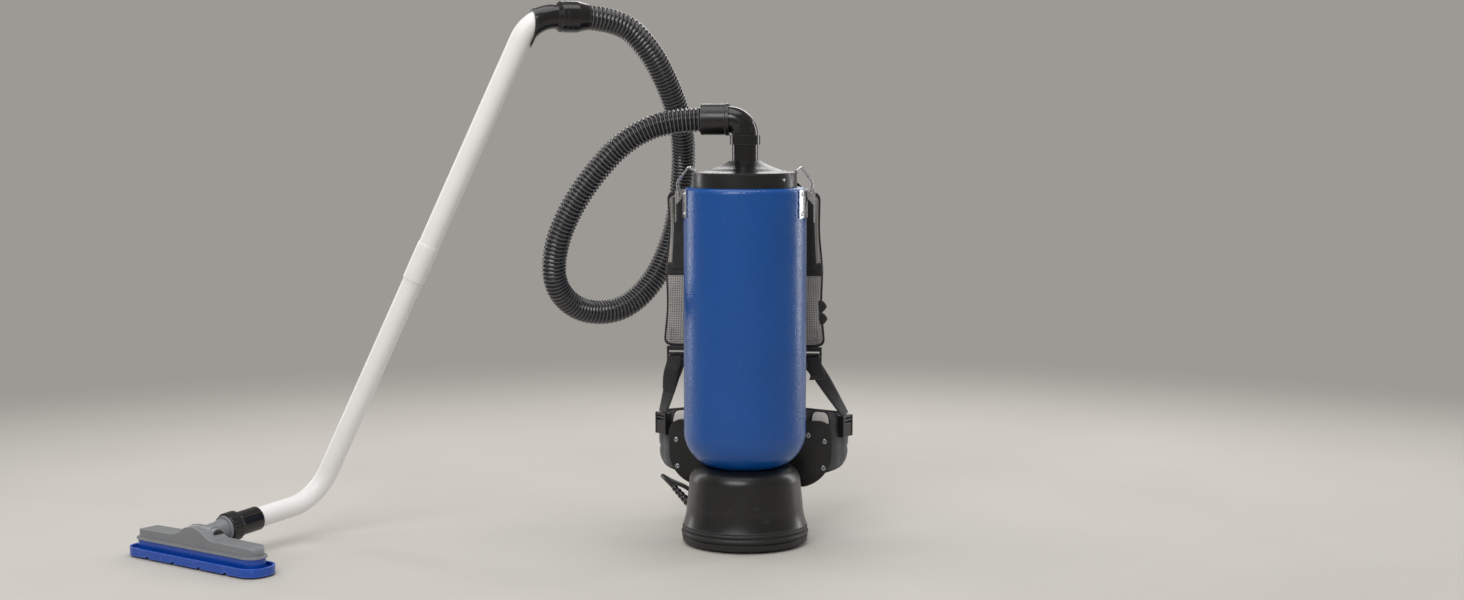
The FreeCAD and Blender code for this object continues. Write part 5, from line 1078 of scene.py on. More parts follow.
@dataclass
class SewnPad:
    """Foam pad between two cloths, with a taped rim, sewn channels and stitches.

    Attributes:
        section: Gives the section at a share of the length.
        corner: Radius of its corners in plan.
        rim: Height of the rim in shares of the thickness.
        back: How far the back bulges in shares of the rim's height.
        seams: Shares of the length that are sewn down across it.
        lanes: Shares of the half width that are sewn down along it.
        groove: Depth of a seam in shares of the crown.
        held: Span of shares that something else holds flat.
        step: Distance from row to row.
        first_row: Share of a half turn that spaces the rows closer near the ends.
        edge: Length over which its ends rise.
        square: Power that keeps the crown full up to the rim.
        cap: Farthest that the cloth may be blown out.
        pinned: Share of the half width, and distances from the ends, seams and lanes, within which it is held.
        tape: Width of the binding over the rim.
    """

    CLOTH: ClassVar[dict[str, float]] = {"quality": 5, "mass": 0.2, "tension_stiffness": 8,
                                         "compression_stiffness": 8, "bending_stiffness": 0.2, "use_pressure": True}

    name: str
    length: float
    section: Callable[[float], Section]
    finish: Finish
    nodes: tuple[str, ...] = ()
    body: str = "vacuum"
    corner: float = 0.02
    rim: float = 0.45
    back: float = 0.9
    seams: tuple[float, ...] = ()
    lanes: tuple[float, ...] = ()
    groove: float = 0.6
    held: tuple[float, float] = (2.0, 2.0)
    step: float = 0.006
    columns: int = 20
    first_row: float = 0.12
    edge: float = 0.016
    square: float = 3.2
    seam_width: float = 0.0045
    lane_width: float = 0.0035
    cap: float = 0.003
    pressure: float = 5.0
    frames: int = 14
    pinned: tuple[float, float, float, float] = (0.985, 0.0012, 0.003, 0.0025)
    tape: float = 0.0085
    tape_lift: float = 0.0019

    def rows(self) -> list[float]:
        """Spaces the rows of the grid, closer near the ends.

        Returns:
            Shares of the length.
        """
        count = max(8, round(self.length / self.step))
        first, turn = math.pi * self.first_row, math.pi * (1 - 2 * self.first_row)
        return [0.5 - 0.5 * math.cos(first + turn * i / count) / math.cos(first) for i in range(count + 1)]

    def reach(self, share: float) -> float:
        """Distance to the nearer end at a share of the length."""
        return min(share, 1 - share) * self.length

    def half_at(self, share: float, part: Section) -> float:
        """Half width at a share of the length, drawn in at round corners."""
        short = max(0.0, self.corner - self.reach(share))
        return part.half - self.corner + math.sqrt(max(0.0, self.corner ** 2 - short ** 2))

    def level(self, share: float, side: float, front: bool) -> float:
        """Height above the pad's back at a share of the length and of the half width.

        Args:
            share: Share of the length.
            side: Share of the half width, from -1 to 1.
            front: Whether the front cloth is asked for.

        Returns:
            Height in metres.
        """
        part = self.section(share)
        wide = math.sqrt(max(0.0, 1 - abs(side) ** self.square))
        crown = wide * math.sqrt(max(0.0, 1 - (1 - min(1.0, self.reach(share) / self.edge)) ** 2))
        for seam in self.seams:
            crown *= 1 - self.groove * math.exp(-((share - seam) * self.length / self.seam_width) ** 2)
        for lane in self.lanes:
            crown *= 1 - self.groove * math.exp(-((abs(side) - lane) * part.half / self.lane_width) ** 2)
        edge = self.rim * part.thick
        return edge + (part.thick - edge) * crown if front else edge * (1 - self.back * crown)

    def point(self, share: float, side: float, front: bool, lift: float = 0.0) -> Vector:
        """Point over a cloth at a share of the length and of the half width.

        Args:
            share: Share of the length.
            side: Share of the half width, from -1 to 1.
            front: Whether the front cloth is asked for.
            lift: Height of the point over that cloth.

        Returns:
            The point.
        """
        part = self.section(share)
        height = self.level(share, side, front) + (lift if front else -lift)
        return part.centre + part.across * (side * self.half_at(share, part)) + part.out * height

    def build(self) -> None:
        """Makes the pad, its tape and its stitches."""
        shares = self.rows()
        sides = [math.sin(math.pi * (j / self.columns - 0.5)) * 0.35 + (2 * j / self.columns - 1) * 0.65
                 for j in range(self.columns + 1)]
        points, uvs, faces = [], [], []
        for front in (True, False):
            cloth = grid(len(shares) - 1, self.columns, len(points))
            faces += cloth if front else [face[::-1] for face in cloth]
            points += [self.point(share, side, front) for share in shares for side in sides]
            uvs += [(side * self.section(share).half, share * self.length) for share in shares for side in sides]
        pad = object_from(mesh_from(self.name, points, faces, uvs, weld=2e-5))
        self._puff(pad)
        smooth = pad.modifiers.new("smooth", "SUBSURF")
        smooth.levels = smooth.render_levels = 1
        dress(pad, self.body, self.finish, *self.nodes)
        self._bind(shares)

    def along(self, share: float) -> Vector:
        """Direction of the pad's length at a share of it."""
        low, high = max(0.0, share - 0.01), min(1.0, share + 0.01)
        return (self.section(high).centre - self.section(low).centre).normalized()

    def _pinned(self, place: Vector) -> bool:
        """Finds out whether a point of the pad is on its rim, sewn down or held.

        Args:
            place: The point.

        Returns:
            Whether the cloth simulation leaves it in place.
        """
        share = min(self.rows(), key=lambda s: (self.section(s).centre - place).dot(self.along(s)) ** 2)
        part = self.section(share)
        side = abs((place - part.centre).dot(part.across) / max(1e-6, self.half_at(share, part)))
        rim_side, rim_end, by_seam, by_lane = self.pinned
        rim = side > rim_side or self.reach(share) < rim_end
        seam = any(abs(share - seam) * self.length < by_seam for seam in self.seams)
        lane = any(abs(side - lane) * part.half < by_lane for lane in self.lanes)
        return rim or seam or lane or self.held[0] <= share <= self.held[1]

    def _puff(self, pad: Piece) -> None:
        """Blows the cloths out between the seams with a short cloth simulation and keeps the result.

        Args:
            pad: The pad, whose mesh is changed.
        """
        scene, vertices = bpy.context.scene, pad.data.vertices
        group = pad.vertex_groups.new(name="sewn")
        group.add([v.index for v in vertices if self._pinned(v.co)], 1.0, "REPLACE")
        cloth = pad.modifiers.new("cloth", "CLOTH")
        for key, value in {**self.CLOTH, "vertex_group_mass": group.name,
                           "uniform_pressure_force": self.pressure}.items():
            setattr(cloth.settings, key, value)
        cloth.settings.effector_weights.gravity = 0.0
        cloth.collision_settings.use_collision = False
        cloth.point_cache.frame_start, cloth.point_cache.frame_end = 1, self.frames
        for frame in range(1, self.frames + 1):
            scene.frame_set(frame)
        graph = bpy.context.evaluated_depsgraph_get()
        blown = [v.co.copy() for v in pad.evaluated_get(graph).data.vertices]
        pad.modifiers.remove(cloth)
        pad.vertex_groups.remove(group)
        for vertex, new in zip(vertices, blown):
            move = new - vertex.co
            if move.length > self.cap:
                move *= self.cap / move.length
            vertex.co += move
        scene.frame_set(1)

    def rim_line(self, shares: Sequence[float]) -> list[tuple[Vector, Vector, Vector]]:
        """Points round the rim with the inward and outward directions of the pad there.

        Args:
            shares: Rows of the grid.

        Returns:
            Point, direction into the pad and direction of its thickness, all the way round.
        """
        end = (0.6, 0.2, -0.2, -0.6)
        marks = [(s, 1.0) for s in shares] + [(shares[-1], v) for v in end]
        marks += [(s, -1.0) for s in reversed(shares)] + [(shares[0], -v) for v in end]
        places = [self.point(share, side, True) for share, side in marks]
        line = []
        for i, (share, _) in enumerate(marks):
            tangent = (places[(i + 1) % len(places)] - places[i - 1]).normalized()
            part = self.section(share)
            inward = part.out.cross(tangent).normalized()
            middle = self.section(0.5).centre if abs(share - 0.5) > 0.49 else part.centre
            if inward.dot(middle - places[i]) < 0:
                inward = -inward
            line.append((places[i], inward, part.out))
        return line

    def _bind(self, shares: Sequence[float]) -> None:
        """Folds a tape over the rim and sews it.

        Args:
            shares: Rows of the grid.
        """
        line = self.rim_line(shares)
        rings, sewn = [], ([], [])
        inset, seam, over = 0.32 * self.tape, 0.28 * self.tape, 1.12 * self.tape_lift
        for place, inward, out in line:
            middle = place + inward * inset
            rings.append([middle + inward * (x * self.tape / 2) + out * (y * self.tape_lift * (1 + 0.5 * x))
                          for x, y in circle(12)])
            for side, path in zip((1, -1), sewn):
                path.append(middle + inward * seam + out * (side * over))
        steps = distances([place for place, _, _ in line])
        tape = object_from(swept(self.name + "_binding", rings, steps, 0.02, closed=True))
        dress(tape, self.body, BINDING)
        sew(self.name + "_stitches", [path + path[:1] for path in sewn], self.body)


@dataclass
class Harness:
    """Soft harness: back pad, shoulder pads, hip pads, webbing, locks and buckle.

    Attributes:
        face: Distance in Y of the back plate's outer face.
        hip_face: Distance in Y of the lumbar plate's outer face.
        shift: Place in X of the middle between the shoulder pads.
        shoulder_rest: Distance from the plate to the part of them that lies on the cushion.
        shoulder_x: Distance of their upper ends from that middle.
        shoulder_spread: How much farther out their lower ends are.
        shoulder_bow: How far they bow off the cushion in the middle.
        shoulder_waist: How much half their width draws in at a quarter and three quarters of their length.
        settled: Share of the length from which they lie on the cushion.
        hip_taper: How far a hip pad's edges draw in towards its tip.
        hip_lane: Share of its half width where it is sewn down.
        bend_radius: Radius round the wearer's hip, from bend_x on.
        wrap_radius: Radius beyond that bend, for wrap_turn degrees.
        lock_face: Distance in Y of the ladder locks' middle.
        adjuster_shares: Where the left and the right adjuster sit along a hip pad.
        adjuster_drop: Distance from the pad's upper edge to an adjuster's foot.
        patch: Middle and half length of the pale patch, in shares of the length, and its edges across.
    """

    body: str = "vacuum"
    face: float = 0.110
    hip_face: float = 0.114
    shift: float = -0.012
    back_half: float = 0.064
    back_low: float = 0.331
    back_high: float = 0.539
    back_thick: float = 0.0145
    shoulder_top: float = 0.577
    shoulder_low: float = 0.313
    shoulder_rest: float = 0.0143
    shoulder_half: float = 0.036
    shoulder_thick: float = 0.015
    shoulder_x: float = 0.093
    shoulder_spread: float = 0.0084
    shoulder_bow: float = 0.0016
    shoulder_waist: float = 0.003
    settled: float = 0.2
    band_height: float = 0.445
    band_half: float = 0.011
    hip_start: float = 0.062
    hip_low: float = 0.090
    hip_high: float = 0.208
    hip_taper: float = 0.034
    hip_thick: float = 0.0175
    hip_lane: float = 0.42
    bend_x: float = 0.097
    bend_radius: float = 0.069
    wrap_radius: float = 0.200
    wrap_turn: float = 20.0
    webbing: float = 0.025
    belt: float = 0.038
    lock_reach: float = 0.1164
    lock_face: float = 0.1299
    lock_top: float = 0.312
    adjuster_shares: tuple[float, float] = (7 / 16, 8 / 16)
    adjuster_height: float = 0.037
    adjuster_drop: float = 0.040
    patch: tuple[float, float, float, float] = (0.275, 0.078, 0.56, 0.965)
    pads: dict[str, SewnPad] = field(default_factory=dict)

    def build(self) -> None:
        """Makes the whole harness."""
        self._back_pad()
        for side, label in HANDS:
            self._shoulder_pad(side, label)
            self._hip_pad(side, label)
        self._straps()
        self._locks()

    def _back_pad(self) -> None:
        """Back cushion with its sewn channels."""
        length = self.back_high - self.back_low

        def section(share: float) -> Section:
            """Section of the back cushion."""
            return Section(Vector((0, self.face, self.back_low + length * share)), RIGHT, TO_WEARER,
                           self.back_half, self.back_thick)

        pad = SewnPad("back_cushion", length, section, MESH_NET, ("back_pad",), corner=0.018, rim=0.35, back=0.98,
                      seams=(1 / 3, 2 / 3), groove=0.55, columns=26)
        pad.build()
        seams = [[pad.point(share, v / 12, True, SEAM_LIFT) for v in range(-11, 12)] for share in pad.seams]
        sew("back_cushion_seams", seams, self.body)

    def shoulder_section(self, side: int) -> Callable[[float], Section]:
        """Gives the section function of one shoulder pad.

        Args:
            side: -1 for left and 1 for right.

        Returns:
            Function from a share of the length, from the top, to the section.
        """
        span = self.shoulder_top - self.shoulder_low

        def section(share: float) -> Section:
            """Section of the shoulder pad.

            Args:
                share: Share of the length, from the top.

            Returns:
                The section there.
            """
            settle = min(1.0, share / self.settled)
            settle = settle * settle * (3 - 2 * settle)
            back = self.face + (self.shoulder_rest + self.shoulder_bow * math.sin(math.pi * share)) * settle
            half = self.shoulder_half - self.shoulder_waist * math.sin(FULL_TURN * share) ** 2
            thick = self.shoulder_thick * (0.75 + 0.25 * math.sqrt(max(0.0, math.sin(math.pi * share))))
            x = self.shift + side * (self.shoulder_x + self.shoulder_spread * share)
            return Section(Vector((x, back, self.shoulder_top - span * share)), RIGHT, TO_WEARER, half, thick)

        return section

    def _shoulder_pad(self, side: int, label: str) -> None:
        """Long mesh pad that hangs from the top of the back frame, with a webbing band round it.

        Args:
            side: -1 for left and 1 for right.
            label: Name of the side.
        """
        span = self.shoulder_top - self.shoulder_low
        pad = SewnPad("shoulder_pad_" + label, span, self.shoulder_section(side), MESH_NET,
                      pair_node("shoulder_pads", side), corner=0.012, rim=0.5, back=0.85, held=(0.45, 0.55),
                      cap=0.002)
        pad.build()
        self.pads[label] = pad
        middle, half = (self.shoulder_top - self.band_height) / span, self.band_half / span
        shares = [middle + half * (k / 3 - 1) for k in range(7)]
        wide = [math.sin(math.pi * k / 16 - math.pi / 2) for k in range(17)]
        rings = []
        for share in shares:
            lift = 0.0012 if 0 < shares.index(share) < 6 else 0.0007
            part, ring = pad.section(share), []
            for p in ([pad.point(share, v, True, lift) for v in wide]
                      + [pad.point(share, v, False, lift) for v in reversed(wide)]):
                sideways = (p - part.centre).project(part.across)
                ring.append(p + sideways.normalized() * (lift + 0.0008) if sideways.length > 1e-4 else p)
            rings.append(ring)
        band = object_from(swept("shoulder_band_" + label, rings, [s * span for s in shares], 0.17))
        dress(band, self.body, WEBBING)
        lines = [[pad.point(share, v, front, 0.0018) for v in wide[2:-2]]
                 for share in (shares[1], shares[5]) for front in (True, False)]
        for front in (True, False):
            box = [pad.point(share, side * v, front, SEAM_LIFT)
                   for share, v in ((0.962, 0.05), (0.962, 0.72), (0.895, 0.72), (0.895, 0.05))]
            lines += [box + box[:1], [box[0], box[2]], [box[1], box[3]]]
        sew("shoulder_stitches_" + label, lines, self.body)

    def hip_section(self, side: int) -> tuple[float, Callable[[float], Section]]:
        """Gives the length and the section function of one hip pad.

        Args:
            side: -1 for left and 1 for right.

        Returns:
            Length along the pad, and the function from a share of it to the section.
        """
        flat = self.bend_x - self.hip_start
        bend = self.bend_radius * math.pi / 2
        total = flat + bend + self.wrap_radius * math.radians(self.wrap_turn)

        def section(share: float) -> Section:
            """Section of the hip pad.

            Args:
                share: Share of the length, from the middle of the back.

            Returns:
                The section there.
            """
            run = min(max(share, 0.0), 1.0) * total
            if run < flat:
                x, y, turn = self.hip_start + run, self.hip_face, 0.0
            elif run < flat + bend:
                turn = (run - flat) / self.bend_radius
                x = self.bend_x + self.bend_radius * math.sin(turn)
                y = self.hip_face + self.bend_radius * (1 - math.cos(turn))
            else:
                more = (run - flat - bend) / self.wrap_radius
                turn = math.pi / 2 + more
                x = self.bend_x + self.bend_radius - self.wrap_radius * (1 - math.cos(more))
                y = self.hip_face + self.bend_radius + self.wrap_radius * math.sin(more)
            rise = self.hip_taper * share ** 1.5
            low, high = self.hip_low + rise, self.hip_high - rise
            swell = math.sqrt(max(0.12, 1 - abs(2 * share - 1) ** 5))
            return Section(Vector((side * x, y, (low + high) / 2)), UP,
                           Vector((-side * math.sin(turn), math.cos(turn), 0)), (high - low) / 2 + 0.001,
                           self.hip_thick * swell)

        return total, section

    def _hip_pad(self, side: int, label: str) -> None:
        """Pad that wraps forward round the hip, with sewn lanes and a pale patch at its top.

        Args:
            side: -1 for left and 1 for right.
            label: Name of the side.
        """
        total, section = self.hip_section(side)
        pad = SewnPad("hip_pad_" + label, total, section, PAD_NYLON, pair_node("hip_pads", side),
                      corner=0.024, rim=0.42, back=0.95, lanes=(self.hip_lane,), seams=(0.5,), groove=0.42, columns=26)
        pad.build()
        lines = [[pad.point(k / 40, lane, front, SEAM_LIFT) for k in range(3, 38)]
                 for front in (True, False) for lane in (-self.hip_lane, self.hip_lane)]
        sew("hip_pad_seams_" + label, lines, self.body)
        self._patch(pad, label)

    def _patch(self, pad: SewnPad, label: str) -> None:
        """Pale patch with a taped edge on the side of the pad that faces the tank.

        Args:
            pad: Hip pad that carries it.
            label: Name of the side.
        """
        middle, reach, low, high = self.patch
        rows, columns = 10, 6
        places = []
        for i in range(rows + 1):
            offset = 2 * i / rows - 1
            top = (high - low) * (0.35 + 0.65 * math.sqrt(1 - offset ** 4))
            places.append([pad.point(middle + reach * offset, low + top * k / columns, False, 0.0012)
                           for k in range(columns + 1)])
        points = [p for row in places for p in row]
        patch = object_from(mesh_from("hip_patch_" + label, points, grid(rows, columns), [(p.x, p.z) for p in points]))
        thick = patch.modifiers.new("thick", "SOLIDIFY")
        thick.thickness, thick.offset = 0.001, 0.0
        dress(patch, self.body, PATCH_TRICOT)
        outline = ([row[0] for row in places] + places[-1][1:] + [row[-1] for row in reversed(places)][1:]
                   + places[0][-2:0:-1])
        rings = []
        for i, place in enumerate(outline):
            tangent = (outline[(i + 1) % len(outline)] - outline[i - 1]).normalized()
            out = pad.section(middle).out
            inward = out.cross(tangent).normalized()
            rings.append([place + inward * (0.0022 * x) + out * (0.0011 * y) for x, y in circle(8)])
        edge = object_from(swept("hip_patch_edge_" + label, rings, distances(outline), 0.01, closed=True))
        dress(edge, self.body, BINDING)

    def ribbon(self, name: str, points: Sequence[Vector], tops: Sequence[Vector], *nodes: str,
               thick: float = 0.0016, pointed: bool = False) -> list[list[Vector]]:
        """Lays a strap of webbing through points.

        Args:
            name: Name of the piece.
            points: Points on its middle line.
            tops: Vector from the middle line to one edge at each point.
            nodes: CAD nodes that it replaces.
            thick: Thickness of the webbing.
            pointed: Whether its width follows the tops' lengths, instead of the first one's.

        Returns:
            Its two long edges, a little inside, on the side that faces away from the tank.
        """
        middle = smooth_path(points, 8)
        edges = smooth_path(tops, 8)
        rings, sewn = [], [[], []]
        for i, (place, top) in enumerate(zip(middle, edges)):
            tangent = (middle[min(i + 1, len(middle) - 1)] - middle[max(i - 1, 0)]).normalized()
            wide = top.length if pointed else tops[0].length
            top = (top - tangent * top.dot(tangent)).normalized() * wide
            normal = tangent.cross(top).normalized() * (thick / 2)
            flat = top * (1 - thick / 2 / top.length)
            face = [flat * share + normal * bulge for share, bulge in
                    ((1, 1), (0.5, 1.1), (0, 1.1), (-0.5, 1.1), (-1, 1))]
            rings.append([place + p for p in (*[-p for p in face], top, *face, -top)])
            for sign, path in zip((-1, 1), sewn):
                path.append(place + flat * (0.82 * sign) + normal * 1.25)
        strap = object_from(swept(name, rings, distances(middle), 4 * tops[0].length))
        dress(strap, self.body, WEBBING, *nodes)
        return sewn

    def adjuster_site(self, side: int) -> tuple[Vector, Vector]:
        """Finds where an adjuster sits on the outer face of a hip pad.

        Args:
            side: -1 for left and 1 for right.

        Returns:
            Foot of the adjuster's middle, and the direction to the wearer.
        """
        part = self.hip_section(side)[1](self.adjuster_shares[side > 0])
        top = part.centre.z + part.half - 0.001
        foot = Vector((part.centre.x, part.centre.y, top - self.adjuster_drop)) - part.out * 0.006
        return foot, part.out

    def lock_point(self, side: int, drop: float) -> Vector:
        """Point in the middle of a ladder lock, at a distance under its upper edge."""
        return Vector((self.shift + side * self.lock_reach, self.lock_face, self.lock_top - drop))

    def _straps(self) -> None:
        """Adjusting webbing, its folded ends, the pads' rear straps and the hip belt's webbing."""
        half = self.webbing / 2
        wide = RIGHT * half
        lines = []
        for side, label in HANDS:
            lock = self.lock_point(side, 0.0263)
            foot, inward = self.adjuster_site(side)
            foot = foot + UP * (self.adjuster_height + 0.0003)
            sideways = inward.cross(UP).normalized() * half
            if sideways.x < 0:
                sideways = -sideways
            middle = (lock + foot) / 2 + TO_WEARER * 0.003
            between = (wide + sideways).normalized() * half
            lines += self.ribbon("adjusting_webbing_" + label, [lock, middle, foot], [wide, between, sideways],
                                 *pair_node("harness_webbing", side), thick=0.0018)
            loop = [lock + Vector((0, 0, 0.011)), lock + Vector((0, 0.0036, 0.004)),
                    lock + Vector((0, 0.0034, -0.006)), lock + (middle - lock) * 0.55 + Vector((0, 0.0032, 0))]
            lines += self.ribbon("webbing_fold_" + label, loop, [wide] * 4)
            end = Vector((side * 0.010 - 0.004, 0.0, -0.052 if side < 0 else -0.030))
            tail = [lock + p for p in (Vector((side * 0.004, -0.0046, 0.009)), Vector((side * 0.005, -0.0052, -0.004)),
                                       Vector((side * 0.010, -0.006, -0.022)), end)]
            lines += self.ribbon("webbing_tail_" + label, tail, [wide, wide, wide, between])
            lines += self._rear_strap(side, label)
            tip = self.hip_section(side)[1](1.0)
            start = tip.centre + tip.out * (tip.thick / 2)
            points = [start + Vector((-side * x, y, z)) * MM
                      for x, y, z in ((0, 0, 0), (3.5, 9, -1), (9, 17.5, -3), (17, 25, -4), (26, 31, -4))]
            lines += self.ribbon("belt_webbing_" + label, points, [UP * (self.belt / 2)] * 5, thick=0.0022)
            self._buckle_half(side, points[-1], (points[-1] - points[-2]).normalized())
        sew("webbing_stitches", lines, self.body, pitch=0.0036, stitch=0.0026, thread=0.0006)

    def _rear_strap(self, side: int, label: str) -> list[list[Vector]]:
        """Webbing sewn along the back of a shoulder pad, down to its band, and the right pad's two keepers.

        Args:
            side: -1 for left and 1 for right.
            label: Name of the side.

        Returns:
            Lines to sew.
        """
        pad, line = self.pads[label], 0.33
        places = []
        for share in (0.035, 0.12, 0.22, 0.34, 0.44, 0.5):
            part = pad.section(share)
            lift = pad.level(share, side * line, False)
            places.append(part.centre + part.across * (side * line * part.half) + part.out * (lift - 0.0016))
        lines = self.ribbon("rear_webbing_" + label, places, [RIGHT * (0.6 * self.webbing)] * len(places))
        for k, share in enumerate((0.74, 0.82) if side > 0 else ()):
            part = pad.section(share)
            rim = part.centre + part.across * (side * part.half) + part.out * (pad.rim * part.thick)
            loop = [rim + part.across * (side * x * MM) + part.out * (y * MM)
                    for x, y in ((-5, 2.8), (3.5, 2.2), (8.5, 0), (3.5, -2.2), (-5, -2.8))]
            widths = [UP * (half * MM) for half in (11, 8.5, 2.2, 8.5, 11)]
            self.ribbon(f"keeper_{k + 1}", loop, widths, thick=0.0014, pointed=True)
        return lines

    def _frame(self, name: str, centre: Vector, across: Vector, half: float, height: float, thick: float,
               bars: Pairs, *nodes: str) -> None:
        """Makes a moulded ladder lock: two side rails and cross bars with soft edges.

        Args:
            name: Name of the piece.
            centre: Middle of the lock.
            across: Direction of its bars.
            half: Half its width.
            height: Its height.
            thick: Its thickness.
            bars: Share of the height, from the bottom, and depth of each cross bar.
            nodes: CAD nodes that it replaces.
        """
        rail = 0.0038
        blocks = [(sign * (half - rail / 2), 0.0, rail, height, thick) for sign in (-1, 1)]
        blocks += [(0.0, (share - 0.5) * (height - deep), 2 * half - 0.002, deep, thick * 0.86) for share, deep in bars]
        outlines = [(deep / 2, [(x + i * wide / 2, z + k * tall / 2) for i, k in ((-1, -1), (1, -1), (1, 1), (-1, 1))])
                    for x, z, wide, tall, deep in blocks]
        axes = across, across.cross(UP).normalized(), UP
        dress(prisms(name, outlines, centre, axes, 0.0011), self.body, ACETAL, *nodes)

    def _locks(self) -> None:
        """Ladder locks under the shoulder pads and adjusters on the hip pads."""
        for side, label in HANDS:
            self._frame("ladder_lock_" + label, self.lock_point(side, 0.013), RIGHT, 0.017, 0.026, 0.006,
                        ((0.0, 0.005), (0.52, 0.004), (1.0, 0.008)), *pair_node("strap_locks", side))
            foot, inward = self.adjuster_site(side)
            self._frame("hip_adjuster_" + label, foot + UP * (self.adjuster_height / 2),
                        inward.cross(UP).normalized(), 0.0155, self.adjuster_height, 0.012,
                        ((0.0, 0.024), (0.80, 0.004), (1.0, 0.005)))

    def _buckle_half(self, side: int, end: Vector, along: Vector) -> None:
        """Makes one half of the side-release buckle.

        Args:
            side: -1 for the socket on the left and 1 for the plug on the right.
            end: End of its webbing.
            along: Direction away from the webbing.
        """
        half = [(19.5, 34), (20.5, 26), (18.5, 16), (21.5, 6), (21.5, 0)]
        outlines = [(4.5, [(-x, z) for x, z in reversed(half)] + half)]
        for x in (-12.5, 0, 12.5) if side > 0 else ():
            outlines.append((2, [(x + a, z) for a, z in ((-2.6, 33), (-2.6, 43), (-1, 47.5), (1, 47.5), (2.6, 43),
                                                         (2.6, 33))]))
        name, node = ("side_release_socket", "buckle_socket") if side < 0 else ("side_release_plug", "buckle_plug")
        axes = [axis * MM for axis in (UP, along.cross(UP).normalized(), along)]
        dress(prisms(name, outlines, end, axes, 0.0009), self.body, ACETAL, node)


@dataclass
class Fasteners:
    """Rivets and screws that are too fine for the CAD nodes that they stand for.

    Attributes:
        plate: Thickness of a latch plate.
        rivet_angle: Degrees from a latch's middle to its rivets.
        screws_mm: Distance from the middle and height of each screw of the lumbar plate.
        screw_face: Distance in Y of the face under those screws.
        base_ring: Radius and height of the screws under the base.
        band_ring: Radius and height of the rivets on the lid's band.
        dome_mm: Radius and height of each corner of a latch's rivet head, and so for the other heads.
    """

    body: str = "vacuum"
    tank_radius: float = 0.101
    plate: float = 0.0016
    rivet_angle: float = 21.0
    rivet_heights: tuple[float, float] = (0.548, 0.580)
    screws_mm: Pairs = ((127, 152), (125, 106), (99, 162))
    screw_face: float = 0.110
    base_ring: tuple[float, float] = (0.084, 0.006)
    band_ring: tuple[float, float] = (0.085, 0.6035)
    dome_mm: Pairs = ((0, -0.4), (3.5, -0.4), (3.5, 0.3), (3.1, 1), (2.1, 1.4), (0.9, 1.6), (0, 1.6))
    button_mm: Pairs = (
        (0, 1), (1.4, 1), (1.7, 2.1), (2.3, 2.4), (3.5, 2.1), (4.6, 1.3), (5, 0.3), (5, -0.4), (0, -0.4))
    pan_mm: Pairs = ((0, 1), (1.2, 1.2), (1.6, 2.2), (3, 2), (4, 1), (4, -0.3), (0, -0.3))
    flat_mm: Pairs = ((0, 0.8), (1, 0.8), (2.2, 0.6), (2.7, 0), (2.7, -0.4), (0, -0.4))

    def build(self) -> None:
        """Sets the latches' rivets, the screws of the lumbar plate and the base, and the band's rivets."""
        aims = [heading(base + sign * self.rivet_angle) for base in (0, 180) for sign in (-1, 1)]
        places = [(aim * (self.tank_radius + self.plate) + UP * z, aim) for aim in aims for z in self.rivet_heights]
        stud("domed_rivets", places, turned("rivet_head", self.dome_mm), self.body, BRIGHT_STEEL, "latch_rivets")
        places = [(Vector((side * x * MM, self.screw_face, z * MM)), -TO_WEARER)
                  for side in (-1, 1) for x, z in self.screws_mm]
        stud("button_screws", places, turned("button_head", self.button_mm), self.body, ZINC, "hip_screws")
        radius, z = self.base_ring
        places = [(heading(45 + 90 * i) * radius + UP * z, -UP) for i in range(4)]
        stud("pan_screws", places, turned("pan_head", self.pan_mm), self.body, ZINC, "base_screws")
        radius, z = self.band_ring
        places = [(heading(angle) * radius + UP * z, heading(angle)) for angle in (-38, 142)]
        stud("band_rivets", places, turned("band_rivet_head", self.flat_mm), "lid", BRIGHT_STEEL)


@dataclass
class FloorTool:
    """Bristle rows under the floor tool.

    Attributes:
        centre: Middle of the tool on the floor.
        yaw: Degrees that its length turns from +X.
        row: Distance of each row from the tool's middle.
        pitch: Distance from tuft to tuft.
    """

    body: str = "tool_head"
    centre: Triple = (-0.843, -0.244, 0.0)
    yaw: float = -30.6
    length: float = 0.250
    row: float = 0.0240
    width: float = 0.005
    height: float = 0.0062
    pitch: float = 0.0026

    def build(self) -> None:
        """Makes two rows of tufts that lean a little, seeded."""
        along, across = heading(self.yaw), heading(self.yaw + 90)
        places = []
        for side in (-1, 1):
            for lane in (-0.33, 0.0, 0.33):
                for i in range(int(self.length / self.pitch) + 1):
                    shift = (i + 0.5 * (lane == 0)) * self.pitch - self.length / 2
                    place = Vector(self.centre) + along * shift + across * (side * self.row + lane * self.width)
                    places.append((place + UP * self.height, -UP))
        root = self.height / MM - 0.3
        tuft = turned("tuft", [(0, -0.2), (0.7, -0.2), (0.8, 3), (1, root), (0, root)], sides=6)
        stud("bristle_tufts", places, tuft, self.body, BRISTLE_FIBRE, "brush_strips", lean=0.10, seed=11)


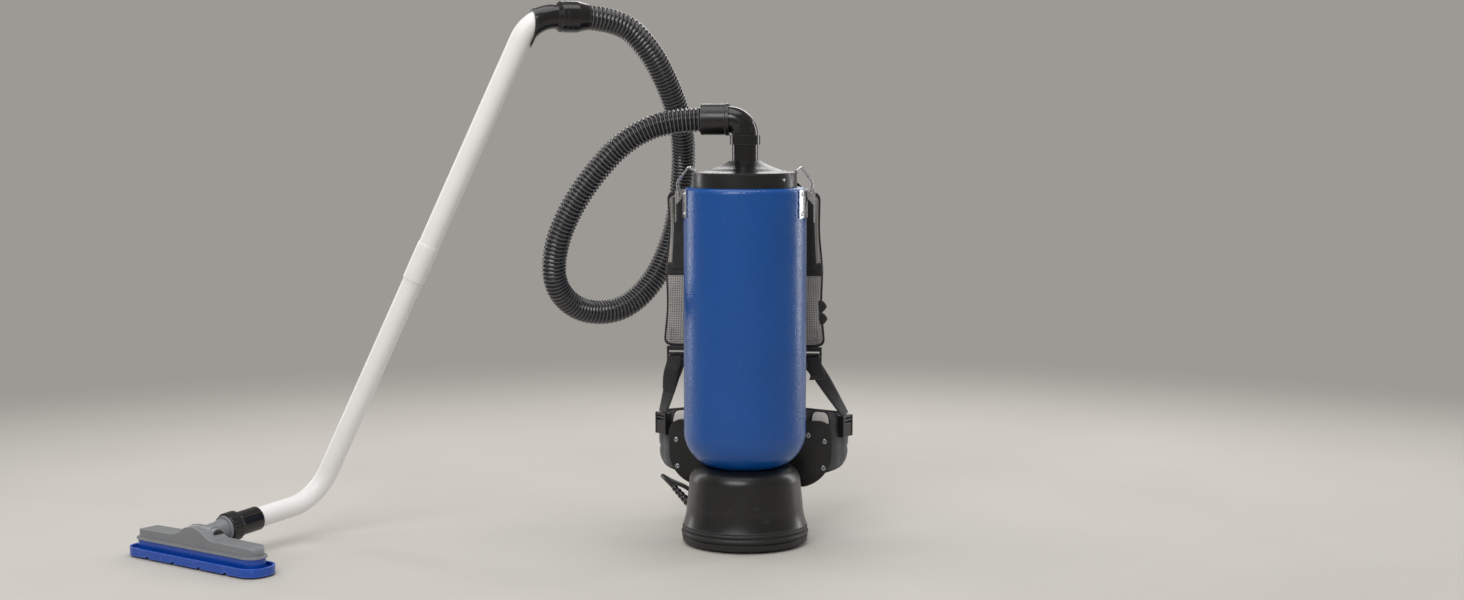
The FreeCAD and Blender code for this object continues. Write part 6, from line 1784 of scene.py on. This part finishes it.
class Shell:
    """CAD nodes whose shape is right: each gets its finish."""

    FINISHES: dict[Finish, tuple[str, ...]] = {TANK_BLUE: ("tank",),
        HOUSING_ABS: ("base_shell", "lid_cover", "lid_band", "bottom_grille", "hose_cuff_tank", "plate_standoffs"),
        TUBE_ABS: ("intake_neck", "elbow_collar", "elbow", "hose_cuff_wand", "wand_grip", "tool_nut", "tool_cuff",
                   "pivot_caps"), PLATE_PP: ("back_plate", "hip_plate"),
        RUBBER: ("bumper_ring", "rubber_feet", "motor_gasket", "lid_gasket"), RELIEF_PVC: ("strain_relief",),
        WAND_ABS: ("upper_wand", "lower_wand"), TOOL_ABS: ("tool_body", "tool_neck"), SKIRT_VINYL: ("tool_skirt",),
        STAINLESS: ("latch_plates", "lever_right", "lever_left"), BRIGHT_STEEL: ("bail_right", "bail_left"),
        SWITCH_NYLON: ("switch_housing", "switch_rocker"), ZINC: ("motor_frame",),
        ALUMINIUM: ("fan_case", "fan_impeller"), TURNED_STEEL: ("motor_shaft", "bearings"),
        LAMINATION: ("field_stack",), COPPER: ("armature",), CARBON: ("carbon_brushes",),
        FILTER_FELT: ("exhaust_filter",), BAG_PAPER: ("filter_bag",), CARD: ("bag_collar",), PLUG_PVC: ("power_plug",),
        PRONG_BRASS: ("plug_prongs",),}

    def build(self, nodes: dict[str, Piece]) -> None:
        """Paints the nodes.

        Args:
            nodes: CAD nodes by name.
        """
        for finish, names in self.FINISHES.items():
            for name in names:
                node = nodes[name]
                node.data.materials.clear()
                node.data.materials.append(DYE.material(finish))
                LOG.info("%s keeps its CAD shape in %s", name, finish.name)


def main() -> None:
    """Builds every sub-assembly in order."""
    logging.basicConfig(level=logging.INFO, format="%(name)s: %(message)s")
    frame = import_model()
    TREES.update(ribs=Loom.ribs(), stitches=Loom.stitches(), studs=Loom.studs())
    Studio().build()
    HoseSet().build()
    Pigtail().build(frame["nodes"])
    Harness().build()
    Fasteners().build()
    FloorTool().build()
    Shell().build(frame["nodes"])


if __name__ == "__main__":
    main()
